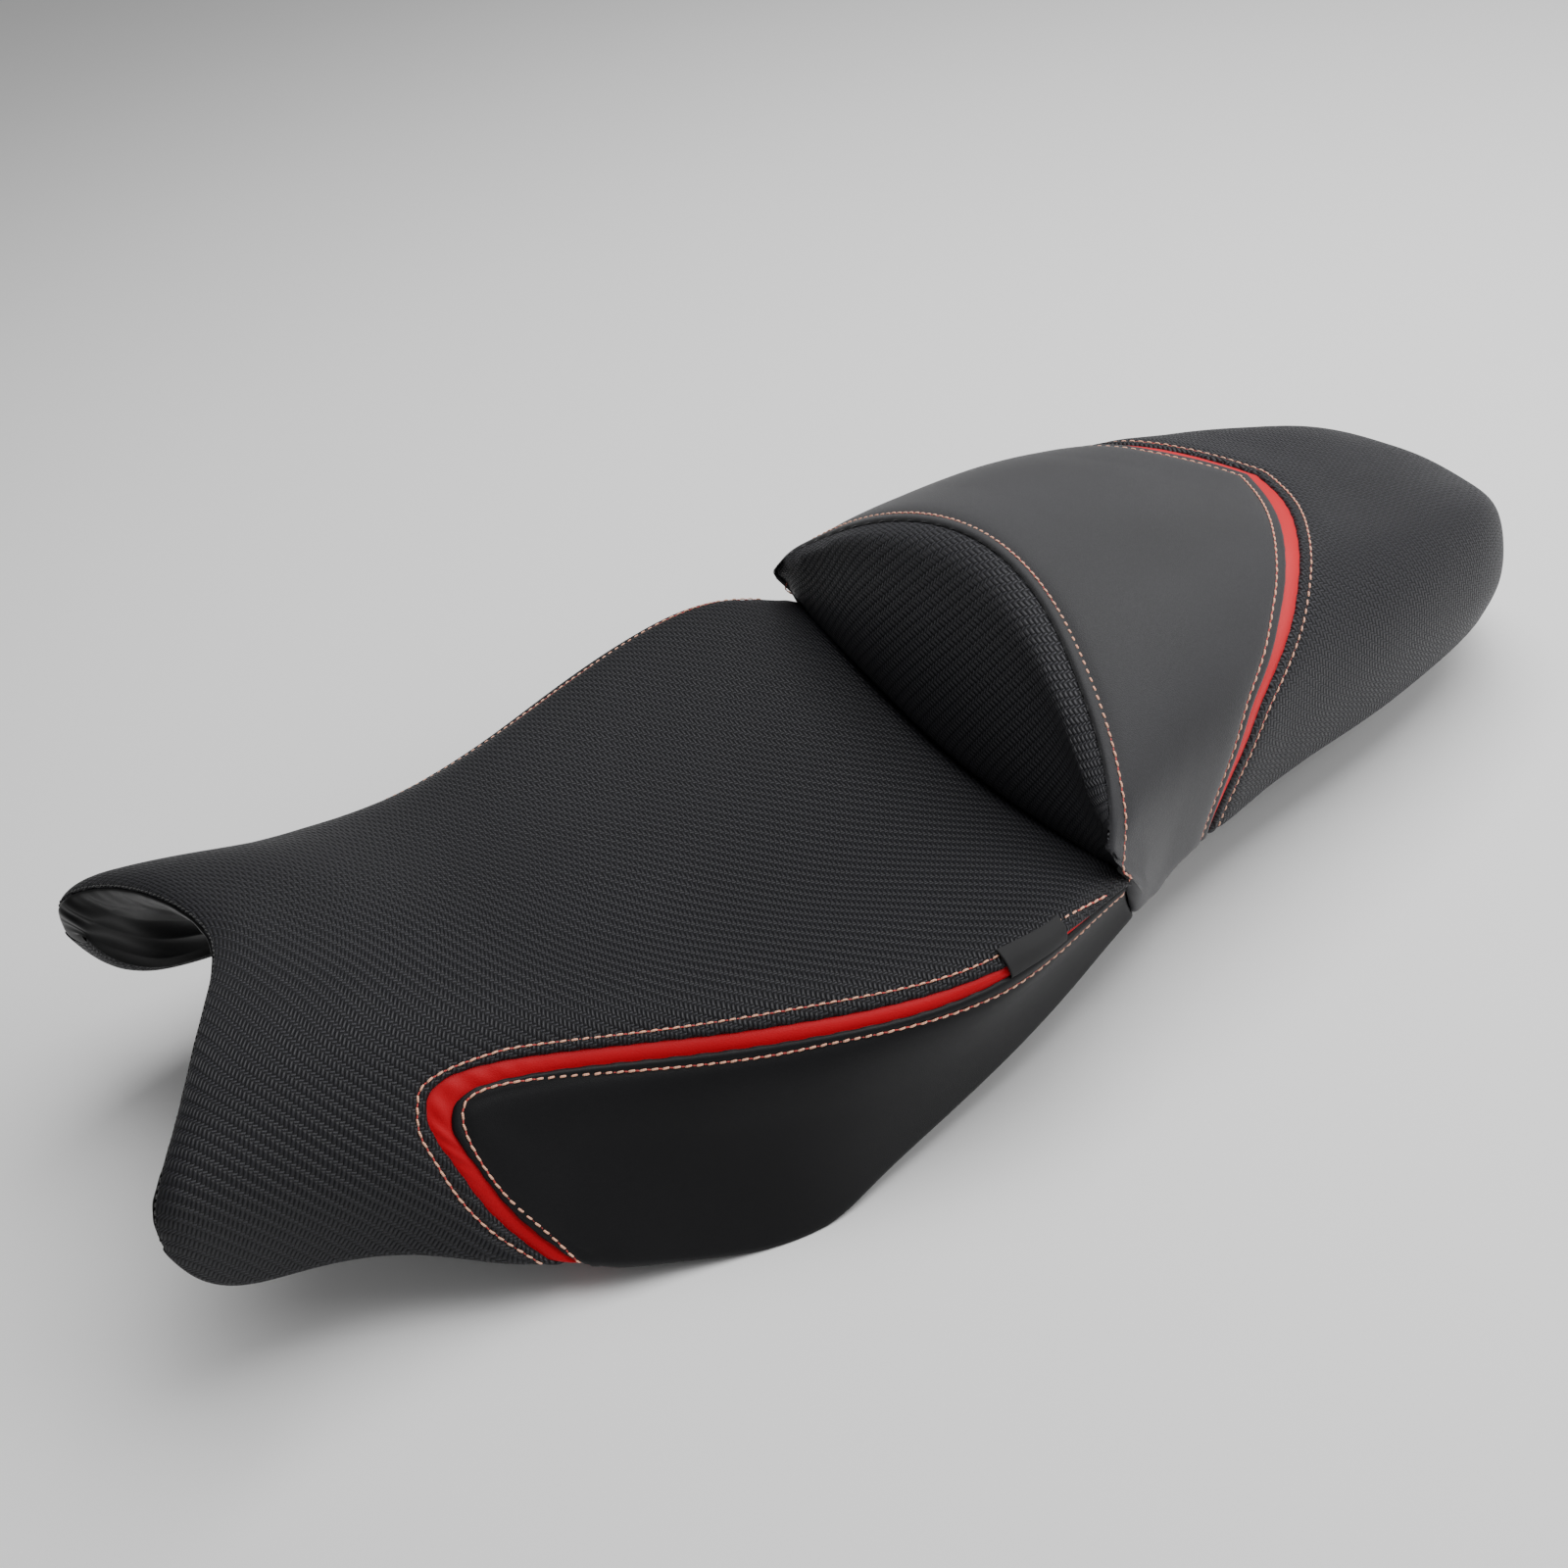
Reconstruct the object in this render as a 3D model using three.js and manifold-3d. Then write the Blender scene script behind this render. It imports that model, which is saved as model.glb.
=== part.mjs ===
// A one-piece motorcycle seat: a moulded base pan, two foam blocks and a cover sewn from panels,
// with the hook, latch striker and rubber bumpers that hold it on the frame.
// Millimetres. +X points to the nose, +Y to the rider's left, +Z up, z = 0 is the bench.
import * as THREE from 'three';
import { mergeVertices } from 'three/addons/utils/BufferGeometryUtils.js';
import Module from 'manifold-3d';

const wasm = await Module();
wasm.setup();

// ---------------------------------------------------------------- driving dimensions
const COVER = 2; // cover panel with its scrim backing
const PAN = 3; // wall of the base pan
const GAP = 0.5; // clearance between foam, pan and lining
const COVER_GAP = 2; // clearance between the cover and the foam
const FIT = 0.3; // clearance between hard pieces
const THINNEST = 1; // foam at its edges
const FOAM_EDGE = 0.4; // how far the foam's flanks stop short of the cover's edge, in rails
const SEAM = 0.027; // half a seam's clearance, in stations or rails
const EDGE = 0.1; // how far foam and pan stop short of the cover's edge, in stations or rails

// Half sections of the seat, from the nose to the tail. Each lists points from the centre line out
// to the lower edge on the rider's left; the right side is its mirror image. A smooth surface
// passes through them all, and places on it are given as [station, rail].
const RIDER_SECTIONS = [
  [[298, 0, 123], [312, 46, 123], [334, 84, 113], [350, 103, 101], [354, 107, 86]],
  [[284, 0, 123], [298, 46, 124], [320, 84, 117], [339, 108, 98], [348, 110, 67]],
  [[264, 0, 116], [270, 44, 118], [290, 82, 111], [311, 107, 84], [328, 110, 50]],
  [[232, 0, 105], [236, 46, 106], [248, 85, 98], [267, 112, 68], [283, 117, 39]],
  [[194, 0, 90], [196, 50, 91], [200, 97, 86], [216, 124, 52], [224, 144, 18]],
  [[150, 0, 75], [151, 58, 77], [151, 117, 79], [153, 147, 42], [150, 171, 2]],
  [[103, 0, 64], [103, 68, 69], [102, 139, 77], [104, 162, 44], [105, 171, 8]],
  [[53, 0, 57], [53, 74, 64], [51, 156, 77], [52, 164, 46], [54, 162, 17]],
  [[3, 0, 53], [3, 78, 62], [3, 156, 78], [4, 157, 56], [4, 153, 29]],
  [[-38, 0, 51], [-38, 72, 58], [-38, 138, 69], [-40, 142, 57], [-44, 140, 43]],
];
const PILLION_SECTIONS = [
  [[-38, 0, 51], [-38, 50, 54], [-38, 90, 59], [-38, 124, 65], [-38, 139, 69], [-44, 140, 43]],
  [[-42, 0, 84], [-40, 48, 84], [-38, 88, 82], [-37, 122, 80], [-37, 144, 75], [-49, 139, 43]],
  [[-57, 0, 126], [-54, 46, 124], [-47, 88, 115], [-38, 124, 98], [-35, 147, 80], [-55, 137, 43]],
  [[-75, 0, 148], [-70, 48, 143], [-58, 92, 128], [-44, 128, 108], [-36, 146, 86], [-62, 134, 43]],
  [[-122, 0, 147], [-121, 48, 145], [-116, 88, 135], [-104, 120, 108], [-92, 127, 74], [-90, 122, 43]],
  [[-172, 0, 138], [-172, 46, 137], [-172, 80, 128], [-168, 104, 103], [-162, 111, 70], [-158, 106, 42]],
  [[-227, 0, 124], [-227, 42, 123], [-227, 74, 118], [-227, 94, 97], [-225, 98, 68], [-222, 94, 40]],
  [[-282, 0, 111], [-282, 38, 110], [-282, 66, 104], [-282, 81, 86], [-282, 84, 62], [-280, 79, 39]],
  [[-324, 0, 96], [-324, 30, 94], [-324, 53, 89], [-322, 64, 73], [-320, 66, 53], [-318, 60, 36]],
  [[-347, 0, 73], [-347, 17, 72], [-345, 32, 67], [-341, 41, 56], [-339, 42, 44], [-335, 39, 33]],
  [[-353, 0, 32], [-353, 7, 32], [-353, 13, 32], [-352, 18, 32], [-351, 21, 31], [-349, 25, 29]],
];
// The underside of the base pan: ten stations below the rider's, then seven below the pillion's.
const PAN_SECTIONS = [
  [[290, 0, 112], [305, 44, 112], [326, 77, 104], [341, 94, 93], [346, 98, 84]],
  [[276, 0, 104], [290, 42, 104], [312, 73, 96], [331, 93, 83], [340, 100, 65]],
  [[258, 0, 88], [264, 42, 87], [284, 71, 80], [305, 92, 66], [320, 100, 49]],
  [[230, 0, 74], [233, 42, 73], [244, 72, 66], [262, 97, 51], [276, 106, 38]],
  [[194, 0, 59], [195, 46, 58], [199, 84, 52], [213, 112, 36], [222, 134, 17]],
  [[150, 0, 45], [151, 55, 44], [151, 100, 38], [153, 134, 24], [150, 161, 2]],
  [[103, 0, 35], [103, 62, 34], [103, 112, 31], [104, 146, 22], [105, 161, 8]],
  [[53, 0, 29], [53, 66, 29], [52, 118, 28], [52, 146, 23], [54, 152, 17]],
  [[3, 0, 26], [3, 66, 26], [3, 112, 27], [4, 134, 28], [4, 143, 29]],
  [[-38, 0, 28], [-38, 60, 29], [-38, 104, 33], [-39, 124, 38], [-43, 131, 42]],
  [[-122, 0, 41], [-120, 46, 41], [-112, 80, 41], [-98, 102, 42], [-88, 113, 43]],
  [[-172, 0, 42], [-172, 44, 42], [-170, 74, 42], [-164, 91, 42], [-158, 97, 42]],
  [[-227, 0, 40], [-227, 40, 40], [-227, 66, 40], [-224, 80, 40], [-222, 85, 40]],
  [[-282, 0, 38], [-282, 34, 38], [-282, 54, 38], [-281, 66, 39], [-280, 70, 39]],
  [[-322, 0, 35], [-322, 26, 35], [-321, 42, 35], [-319, 49, 36], [-318, 53, 36]],
  [[-340, 0, 32], [-340, 13, 32], [-338, 23, 32], [-336, 29, 33], [-335, 33, 33]],
  [[-346, 0, 30], [-346, 6, 30], [-345, 12, 30], [-344, 17, 30], [-343, 21, 29]],
];
const VALLEY = 9; // the pan station below the crease between rider and pillion
const STEP_SEAM = 3; // the pillion station of the seam at the top of the step
const STEP_RAIL = 4; // the pillion rail where that seam comes down to the crease
const FOAM_SPINE = { front: -100, rear: -290, z: 55 }; // the pillion foam thins towards this line

// The red accent on each side, from the seat's lower edge up its front leg, round the corner and
// back to the crease: the edge beside the top panel, and the edge beside the side panel.
const ACCENT_OUTER = [[3.88, 4], [3.64, 3.55], [3.41, 3.05], [3.2, 2.68], [3.18, 2.36], [3.55, 2.19],
  [4.4, 2.14], [5.6, 2.14], [7, 2.17], [8.1, 2.35], [9, 2.55]];
const ACCENT_INNER = [[4, 4], [3.77, 3.55], [3.54, 3.05], [3.35, 2.7], [3.37, 2.46], [3.64, 2.33],
  [4.4, 2.28], [5.6, 2.29], [7, 2.32], [8.1, 2.46], [9, 2.65]];
// The pillion's U-shaped accent: its station at each rail from the centre line out.
const PILLION_ACCENT = [5.94, 5.66, 5.16, 4.56, 4.29, 4.15];
const PILLION_ACCENT_HALF = 0.07; // half its width, in stations
const TAG = { stations: [7.55, 8.15], rails: [2.08, 2.34], lift: 0.6, thickness: 1.2 };

const BUMPER = { radius: 11, height: 10, stem: 3.5, stemLength: 6 };
const BUMPERS = [
  { name: 'front', x: 222, y: 42, foot: 50 },
  { name: 'middle', x: 95, y: 72, foot: 16 },
  { name: 'rear', x: -125, y: 58, foot: 12 },
  { name: 'tail', x: -262, y: 34, foot: 0 },
];
const HOOK = { x: 186, width: 38, thickness: 2.5, base: 34, drop: 15, tongue: 26, top: 46 };
const STRIKER = { x: -200, length: 40, width: 66, thickness: 3, top: 35, rod: 4, half: 12, foot: 5 };
const RIVET = { shank: 2.4, head: 5, headHeight: 2 };
const SCREW = { shank: 3, head: 6.5, headHeight: 4 };
const RIB = { depth: 6, thickness: 2.4 };
const RIBS_ACROSS = [150, 124, 60, 20, -75, -160, -236, -290];
const RIBS_ALONG = [-38, 38];

// ---------------------------------------------------------------- materials
const material = (color, roughness, metalness = 0) =>
  new THREE.MeshStandardMaterial({ color, roughness, metalness });
const TWILL_VINYL = material(0x1c1d20, 0.62);
const SMOOTH_VINYL = material(0x121214, 0.5);
const SUEDE_VINYL = material(0x2a2a2d, 0.8);
const RED_VINYL = material(0xc81628, 0.45);
const LINING_VINYL = material(0x0b0b0c, 0.25);
const TAPE = material(0x1a1a1a, 0.85);
const FOAM = material(0x6c6a62, 0.95);
const PLASTIC = material(0x202124, 0.55);
const RUBBER = material(0x161616, 0.8);
const ZINC = material(0xb8bcc0, 0.35, 1);

// ---------------------------------------------------------------- surfaces
/** Natural cubic spline through evenly numbered points: returns a function of the number. */
function splineThrough(points) {
  const last = points.length - 1;
  const bend = points.map(() => new THREE.Vector3());
  const upper = new Array(points.length).fill(0);
  for (let i = 1; i < last; i++) {
    const pivot = 4 - upper[i - 1];
    upper[i] = 1 / pivot;
    bend[i].copy(points[i + 1]).addScaledVector(points[i], -2).add(points[i - 1]);
    bend[i].multiplyScalar(6).sub(bend[i - 1]).divideScalar(pivot);
  }
  for (let i = last - 1; i > 0; i--) bend[i].addScaledVector(bend[i + 1], -upper[i]);
  return (t) => {
    const i = Math.min(Math.max(Math.floor(t), 0), last - 1);
    const f = t - i;
    const g = 1 - f;
    return new THREE.Vector3()
      .addScaledVector(points[i], g)
      .addScaledVector(points[i + 1], f)
      .addScaledVector(bend[i], (g ** 3 - g) / 6)
      .addScaledVector(bend[i + 1], (f ** 3 - f) / 6);
  };
}

/** A surface through mirrored half sections: returns point(station, rail), with rail < 0 on the right. */
function surfaceThrough(sections) {
  const outermost = sections[0].length - 1;
  const rails = [];
  for (let j = -outermost; j <= outermost; j++) {
    const side = j < 0 ? -1 : 1;
    rails.push(splineThrough(sections.map((s) => {
      const [x, y, z] = s[Math.abs(j)];
      return new THREE.Vector3(x, side * y, z);
    })));
  }
  const cache = new Map();
  const point = (station, rail) => {
    if (!cache.has(station)) cache.set(station, splineThrough(rails.map((curve) => curve(station))));
    return cache.get(station)(rail + outermost);
  };
  return { point, outermost, last: sections.length - 1 };
}

/** The point a distance off the surface, outwards where the distance is positive. */
function offset(surface, station, rail, distance) {
  const step = 0.01;
  const along = surface.point(station + step, rail).sub(surface.point(station - step, rail));
  const across = surface.point(station, rail + step).sub(surface.point(station, rail - step));
  const normal = across.cross(along).normalize();
  return surface.point(station, rail).addScaledVector(normal, distance);
}

const rider = surfaceThrough(RIDER_SECTIONS);
const pillion = surfaceThrough(PILLION_SECTIONS);
const pan = surfaceThrough(PAN_SECTIONS);

// ---------------------------------------------------------------- solids
const range = (from, to, count) =>
  Array.from({ length: count }, (_, i) => from + ((to - from) * i) / (count - 1));

/** From one value to another by way of every half between them, so that stacked layers share facets. */
const halves = (from, to) => {
  const first = Math.floor(2 * from) + 1;
  const count = Math.ceil(2 * to) - first;
  return [from, ...Array.from({ length: count }, (_, i) => (first + i) / 2), to];
};

/** A closed solid between two grids of points, grid[i][j], over the cells that are kept. */
function between(outer, inner, kept = () => true) {
  const rows = outer.length;
  const columns = outer[0].length;
  const positions = [...outer.flat(), ...inner.flat()].flatMap((p) => [p.x, p.y, p.z]);
  const index = [];
  const quad = (a, b, c, d) => index.push(a, b, c, a, c, d);
  const mirrored = (a, b, c, d) => index.push(b, c, d, b, d, a);
  const at = (i, j, level) => level * rows * columns + i * columns + j;
  const solid = (i, j) => i >= 0 && j >= 0 && i < rows - 1 && j < columns - 1 && kept(i, j);
  const wall = (i, j, k, l) => quad(at(i, j, 0), at(i, j, 1), at(k, l, 1), at(k, l, 0));
  for (let i = 0; i + 1 < rows; i++) {
    for (let j = 0; j + 1 < columns; j++) {
      if (!solid(i, j)) continue;
      const face = j < (columns - 1) / 2 ? quad : mirrored;
      face(at(i, j, 0), at(i, j + 1, 0), at(i + 1, j + 1, 0), at(i + 1, j, 0));
      face(at(i, j, 1), at(i + 1, j, 1), at(i + 1, j + 1, 1), at(i, j + 1, 1));
      if (!solid(i - 1, j)) wall(i, j, i, j + 1);
      if (!solid(i, j + 1)) wall(i, j + 1, i + 1, j + 1);
      if (!solid(i + 1, j)) wall(i + 1, j + 1, i + 1, j);
      if (!solid(i, j - 1)) wall(i + 1, j, i, j);
    }
  }
  const geometry = new THREE.BufferGeometry();
  geometry.setAttribute('position', new THREE.Float32BufferAttribute(positions, 3));
  geometry.setIndex(index);
  return volumeOf(geometry) < 0 ? turnedOut(geometry) : geometry;
}

function volumeOf(geometry) {
  const p = geometry.attributes.position;
  const [a, b, c] = [0, 1, 2].map(() => new THREE.Vector3());
  let six = 0;
  for (let k = 0; k < geometry.index.count; k += 3) {
    a.fromBufferAttribute(p, geometry.index.getX(k));
    b.fromBufferAttribute(p, geometry.index.getX(k + 1));
    c.fromBufferAttribute(p, geometry.index.getX(k + 2));
    six += a.dot(b.cross(c));
  }
  return six / 6;
}

function turnedOut(geometry) {
  const index = geometry.index.array;
  for (let k = 0; k < index.length; k += 3) [index[k + 1], index[k + 2]] = [index[k + 2], index[k + 1]];
  return geometry;
}

/** A layer that follows a surface, between two distances off it, at a grid of [station, rail] places. */
function layerAt(surface, places, outer, inner, kept) {
  const face = (distance) =>
    places.map((row) => row.map(([station, rail]) => offset(surface, station, rail, distance)));
  return between(face(outer), face(inner), kept);
}

/** The same, over every station with every rail. */
const layerOver = (surface, stations, rails, outer, inner) =>
  layerAt(surface, stations.map((station) => rails.map((rail) => [station, rail])), outer, inner);

/** The same, where place(s, t) gives the [station, rail] of each grid point. */
function layer(surface, rows, columns, place, outer, inner) {
  const places = range(0, 1, rows).map((s) => range(0, 1, columns).map((t) => place(s, t)));
  return layerAt(surface, places, outer, inner);
}

/** Placing for a layer that covers a plain block of stations and rails. */
const block = (stations, rails) => (s, t) => [
  THREE.MathUtils.lerp(stations[0], stations[1], s),
  THREE.MathUtils.lerp(rails[0], rails[1], t),
];

function toSolid(geometry) {
  const bare = geometry.clone();
  bare.deleteAttribute('normal');
  bare.deleteAttribute('uv');
  const merged = mergeVertices(bare, 1e-4);
  return new wasm.Manifold(new wasm.Mesh({
    numProp: 3,
    vertProperties: new Float32Array(merged.attributes.position.array),
    triVerts: new Uint32Array(merged.index.array),
  }));
}

function toGeometry(solid) {
  const mesh = solid.getMesh();
  const geometry = new THREE.BufferGeometry();
  geometry.setAttribute('position', new THREE.BufferAttribute(mesh.vertProperties, 3));
  geometry.setIndex(new THREE.BufferAttribute(mesh.triVerts, 1));
  geometry.computeVertexNormals();
  return geometry;
}

/** A cut solid without the crumbs that the cut leaves. */
const mainBody = (solid) =>
  solid.decompose().reduce((main, part) => (part.volume() > main.volume() ? part : main));

const box = (sx, sy, sz, x, y, z) => new THREE.BoxGeometry(sx, sy, sz).translate(x, y, z);
const post = (radius, bottom, top, x, y, sides = 14) =>
  new THREE.CylinderGeometry(radius, radius, top - bottom, sides)
    .rotateX(Math.PI / 2)
    .translate(x, y, (top + bottom) / 2);

/** A turned piece about +Z from [radius, height] points that start and end on the axis. */
const turned = (profile, sides = 14) =>
  new THREE.LatheGeometry(profile.map(([r, z]) => new THREE.Vector2(r, z)), sides).rotateX(Math.PI / 2);

/** A side profile in X and Z, extruded over a width centred on y = 0. */
const sideProfile = (shape, width) =>
  new THREE.ExtrudeGeometry(shape, { depth: width, bevelEnabled: false, curveSegments: 6 })
    .rotateX(Math.PI / 2)
    .translate(0, width / 2, 0);

const panStations = halves(EDGE, pan.last - EDGE);
const panRails = halves(EDGE - pan.outermost, pan.outermost - EDGE);

// ---------------------------------------------------------------- cover panels
const ACCENT_STEPS = 40;

/** An accent's edge as a function of 0, at the lower edge, to 1, at the crease, moved inwards by a shift. */
function accentEdge(points, shift) {
  const curve = splineThrough(points.map(([station, rail]) => new THREE.Vector3(station, rail, 0)));
  return (s) => {
    const t = s * (points.length - 1);
    const direction = curve(t + 0.05).sub(curve(t - 0.05)).normalize();
    return curve(t).add(new THREE.Vector3(-direction.y, direction.x, 0).multiplyScalar(shift));
  };
}

/** Places fanning out from an accent's edge down to the seat's lower edge, or past it. */
function belowEdge(edge, steps, columns, side, lowest) {
  const first = edge(steps[0]).x + (lowest > rider.outermost ? 0 : 0.1);
  const final = edge(steps.at(-1)).x;
  return steps.map((step) => range(0, 1, columns).map((t) => {
    const top = edge(step);
    const below = THREE.MathUtils.lerp(first, final, step);
    return [THREE.MathUtils.lerp(top.x, below, t), side * THREE.MathUtils.lerp(top.y, lowest, t)];
  }));
}

/** Places along an accent's edge that its neighbours share, with a first and a last of their own. */
const alongAccent = (first, last) => [first, ...range(0, 1, ACCENT_STEPS + 1).slice(1, -1), last];

function sidePanel(side) {
  const edge = accentEdge(ACCENT_INNER, SEAM);
  const places = belowEdge(edge, alongAccent(0.01, 1 - SEAM / 4), 6, side, rider.outermost);
  return layerAt(rider, places, 0, -COVER);
}

function sideAccent(side) {
  const outer = accentEdge(ACCENT_OUTER, SEAM);
  const inner = accentEdge(ACCENT_INNER, -SEAM);
  const places = alongAccent(0, 1 - SEAM / 4).map((step) => [0, 0.5, 1].map((t) => {
    const p = outer(step).lerp(inner(step), t);
    return [p.x, side * p.y];
  }));
  return layerAt(rider, places, 0, -COVER);
}

function riderTopPanel() {
  const rails = range(-rider.outermost, rider.outermost, 25);
  let panel = toSolid(layerOver(rider, halves(0, rider.last - SEAM), rails, 0, -COVER));
  for (const side of [1, -1]) {
    const edge = accentEdge(ACCENT_OUTER, -SEAM);
    const places = belowEdge(edge, alongAccent(-0.01, 1.02), 6, side, rider.outermost + 0.15);
    panel = panel.subtract(toSolid(layerAt(rider, places, 5, -7)));
  }
  return toGeometry(panel);
}

const CREASE_START = 0.04; // where the pillion's cover starts above the crease, in stations
const accentStation = (() => {
  const mirrored = [...PILLION_ACCENT.slice(1).reverse(), ...PILLION_ACCENT];
  const curve = splineThrough(mirrored.map((station) => new THREE.Vector3(station, 0, 0)));
  return (rail) => curve(rail + pillion.outermost).x;
})();

/** A pillion panel over the whole width, between a first and a last station at each rail. */
function acrossPillion(rows, columns, first, last) {
  const place = (s, t) => {
    const rail = THREE.MathUtils.lerp(-pillion.outermost, pillion.outermost, t);
    return [THREE.MathUtils.lerp(first(rail), last(rail), s), rail];
  };
  return layer(pillion, rows, columns, place, 0, -COVER);
}

/** Behind the step's seam, and down both sides of the step to the lower edge. */
function pillionFrontLayer(outer, inner) {
  const seamRail = STEP_RAIL + SEAM;
  const rails = [-pillion.outermost, -4.5, ...halves(-seamRail, seamRail), 4.5, pillion.outermost];
  const beside = halves(CREASE_START, STEP_SEAM + SEAM);
  const behind = range(0, 1, 12).slice(1);
  const places = [
    ...beside.map((station) => rails.map((rail) => [station, rail])),
    ...behind.map((s) => rails.map((rail) => {
      const last = accentStation(rail) - PILLION_ACCENT_HALF - SEAM;
      return [THREE.MathUtils.lerp(STEP_SEAM + SEAM, last, s), rail];
    })),
  ];
  const kept = (i, j) => i >= beside.length - 1 || j < 2 || j >= rails.length - 3;
  return layerAt(pillion, places, outer, inner, kept);
}

function stepLayer(seam, outer, inner) {
  const rail = STEP_RAIL - seam;
  return layerOver(pillion, halves(CREASE_START, STEP_SEAM - seam), halves(-rail, rail), outer, inner);
}

const stepPanel = () => stepLayer(SEAM, 0, -COVER);
const stepSpace = (depth) => toSolid(stepLayer(-SEAM / 2, COVER, -depth));

const pillionFrontPanel = () =>
  toGeometry(mainBody(toSolid(pillionFrontLayer(0, -COVER)).subtract(stepSpace(2 * COVER))));

function pillionAccent() {
  const half = PILLION_ACCENT_HALF - SEAM;
  return acrossPillion(2, 31, (rail) => accentStation(rail) - half, (rail) => accentStation(rail) + half);
}

const tailPanel = () =>
  acrossPillion(14, 23, (rail) => accentStation(rail) + PILLION_ACCENT_HALF + SEAM, () => pillion.last);

/** The lining turns under the front edge of the pan, below it by one clearance. */
function noseLining() {
  return layerOver(pan, halves(EDGE, 1.1), panRails, -GAP, -GAP - 1.2);
}

function labelTag() {
  const { stations, rails, lift, thickness } = TAG;
  return layer(rider, 6, 4, block(stations, rails), lift + thickness, lift);
}

// ---------------------------------------------------------------- foam and tie strip
/** A foam block: its faces share their rails, which are counted in the pan's, and never meet. */
function foamBlock(surface, stations, panStation, insetFromCover) {
  const share = (surface.outermost - FOAM_EDGE) / (pan.outermost - EDGE);
  const inner = stations.map((station) =>
    panRails.map((rail) => offset(pan, panStation(station), rail, PAN + GAP)));
  const outer = stations.map((station, i) => panRails.map((rail, j) => {
    const column = surface.point(station, rail * share).sub(inner[i][j]).normalize();
    const p = insetFromCover(station, rail * share);
    const height = p.clone().sub(inner[i][j]).dot(column);
    return height < THINNEST ? inner[i][j].clone().addScaledVector(column, THINNEST) : p;
  }));
  return between(outer, inner);
}

function riderFoam() {
  const inset = (station, rail) => offset(rider, station, rail, -COVER - COVER_GAP);
  return foamBlock(rider, halves(EDGE, rider.last - 0.03), (station) => station, inset);
}

/** The pan runs on evenly below the step, then station for station below the pillion. */
function pillionFoam() {
  const behindStep = STEP_SEAM + 1;
  const panStation = (station) =>
    station < behindStep ? VALLEY + station / behindStep : station - behindStep + VALLEY + 1;
  const inset = (station, rail) => {
    const p = pillion.point(station, rail);
    const spineX = THREE.MathUtils.clamp(p.x, FOAM_SPINE.rear, FOAM_SPINE.front);
    const inwards = new THREE.Vector3(spineX, p.y / 2, FOAM_SPINE.z).sub(p).normalize();
    return p.addScaledVector(inwards, 1.4 * (COVER + COVER_GAP));
  };
  const block = foamBlock(pillion, halves(0.2, pillion.last - 0.5), panStation, inset);
  const behindPanels = COVER + COVER_GAP / 2;
  return toGeometry(mainBody(toSolid(block)
    .subtract(stepSpace(behindPanels))
    .subtract(toSolid(pillionFrontLayer(COVER, -behindPanels)))));
}

/** Sewn to the crease of the cover and pulled down between the two foam blocks. */
function tieStrip() {
  const thickness = 0.8;
  const columns = 15;
  const reach = 1.9;
  const row = (height) => range(-reach, reach, columns).map((rail) => height(rail));
  const top = row((rail) => offset(rider, rider.last, rail, -COVER - 1.5));
  const bottom = row((rail) => offset(pan, VALLEY, rail * 1.1, PAN + 1));
  const face = (shift) => [top, bottom].map((line) =>
    line.map((p) => new THREE.Vector3(rider.point(rider.last, 0).x + shift, p.y, p.z)));
  return between(face(thickness / 2), face(-thickness / 2));
}

// ---------------------------------------------------------------- base pan
/** What lies above the middle of the pan's wall, to trim a boss that stands below it. */
const abovePan = () => toSolid(layerOver(pan, panStations, panRails, 32, PAN / 2));

function bumperBosses(trim) {
  const bosses = [];
  for (const { x, y, foot } of BUMPERS) {
    const bottom = foot + BUMPER.height + FIT;
    for (const side of [1, -1]) {
      const boss = toSolid(post(BUMPER.radius, bottom, panHeight(x, y) + 12, x, side * y));
      const hole = toSolid(post(BUMPER.stem + FIT, bottom - 1, bottom + BUMPER.stemLength, x, side * y, 12));
      bosses.push(boss.subtract(trim).subtract(hole));
    }
  }
  return bosses;
}

/** The height of the pan's underside, found by walking along the stations and rails. */
function panHeight(x, y) {
  let best = new THREE.Vector3(Infinity, 0, 0);
  const target = new THREE.Vector2(x, y);
  for (const station of range(0, pan.last, 121)) {
    for (const rail of range(0, pan.outermost, 41)) {
      const p = pan.point(station, rail);
      if (target.distanceTo(p) < target.distanceTo(best)) best = p;
    }
  }
  return best.z;
}

function hardwarePads(trim) {
  const hookPad = box(HOOK.base + 8, HOOK.width + 8, 24, HOOK.x, 0, HOOK.top + FIT + 12);
  const strikerPad = box(STRIKER.length + 8, STRIKER.width + 8, 20, STRIKER.x, 0, STRIKER.top + FIT + 10);
  return [toSolid(hookPad).subtract(trim), toSolid(strikerPad).subtract(trim)];
}

function ribs() {
  const width = pan.outermost - 1;
  const ribbed = toSolid(layer(pan, 19, 9, block([2, pan.last - 1.2], [-width, width]), PAN / 2, -RIB.depth));
  const across = RIBS_ACROSS.map((x) => box(RIB.thickness, 400, 200, x, 0, 60));
  const along = RIBS_ALONG.map((y) => box(500, RIB.thickness, 200, -60, y, 60));
  return [...across, ...along].map((plate) => ribbed.intersect(toSolid(plate)));
}

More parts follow.
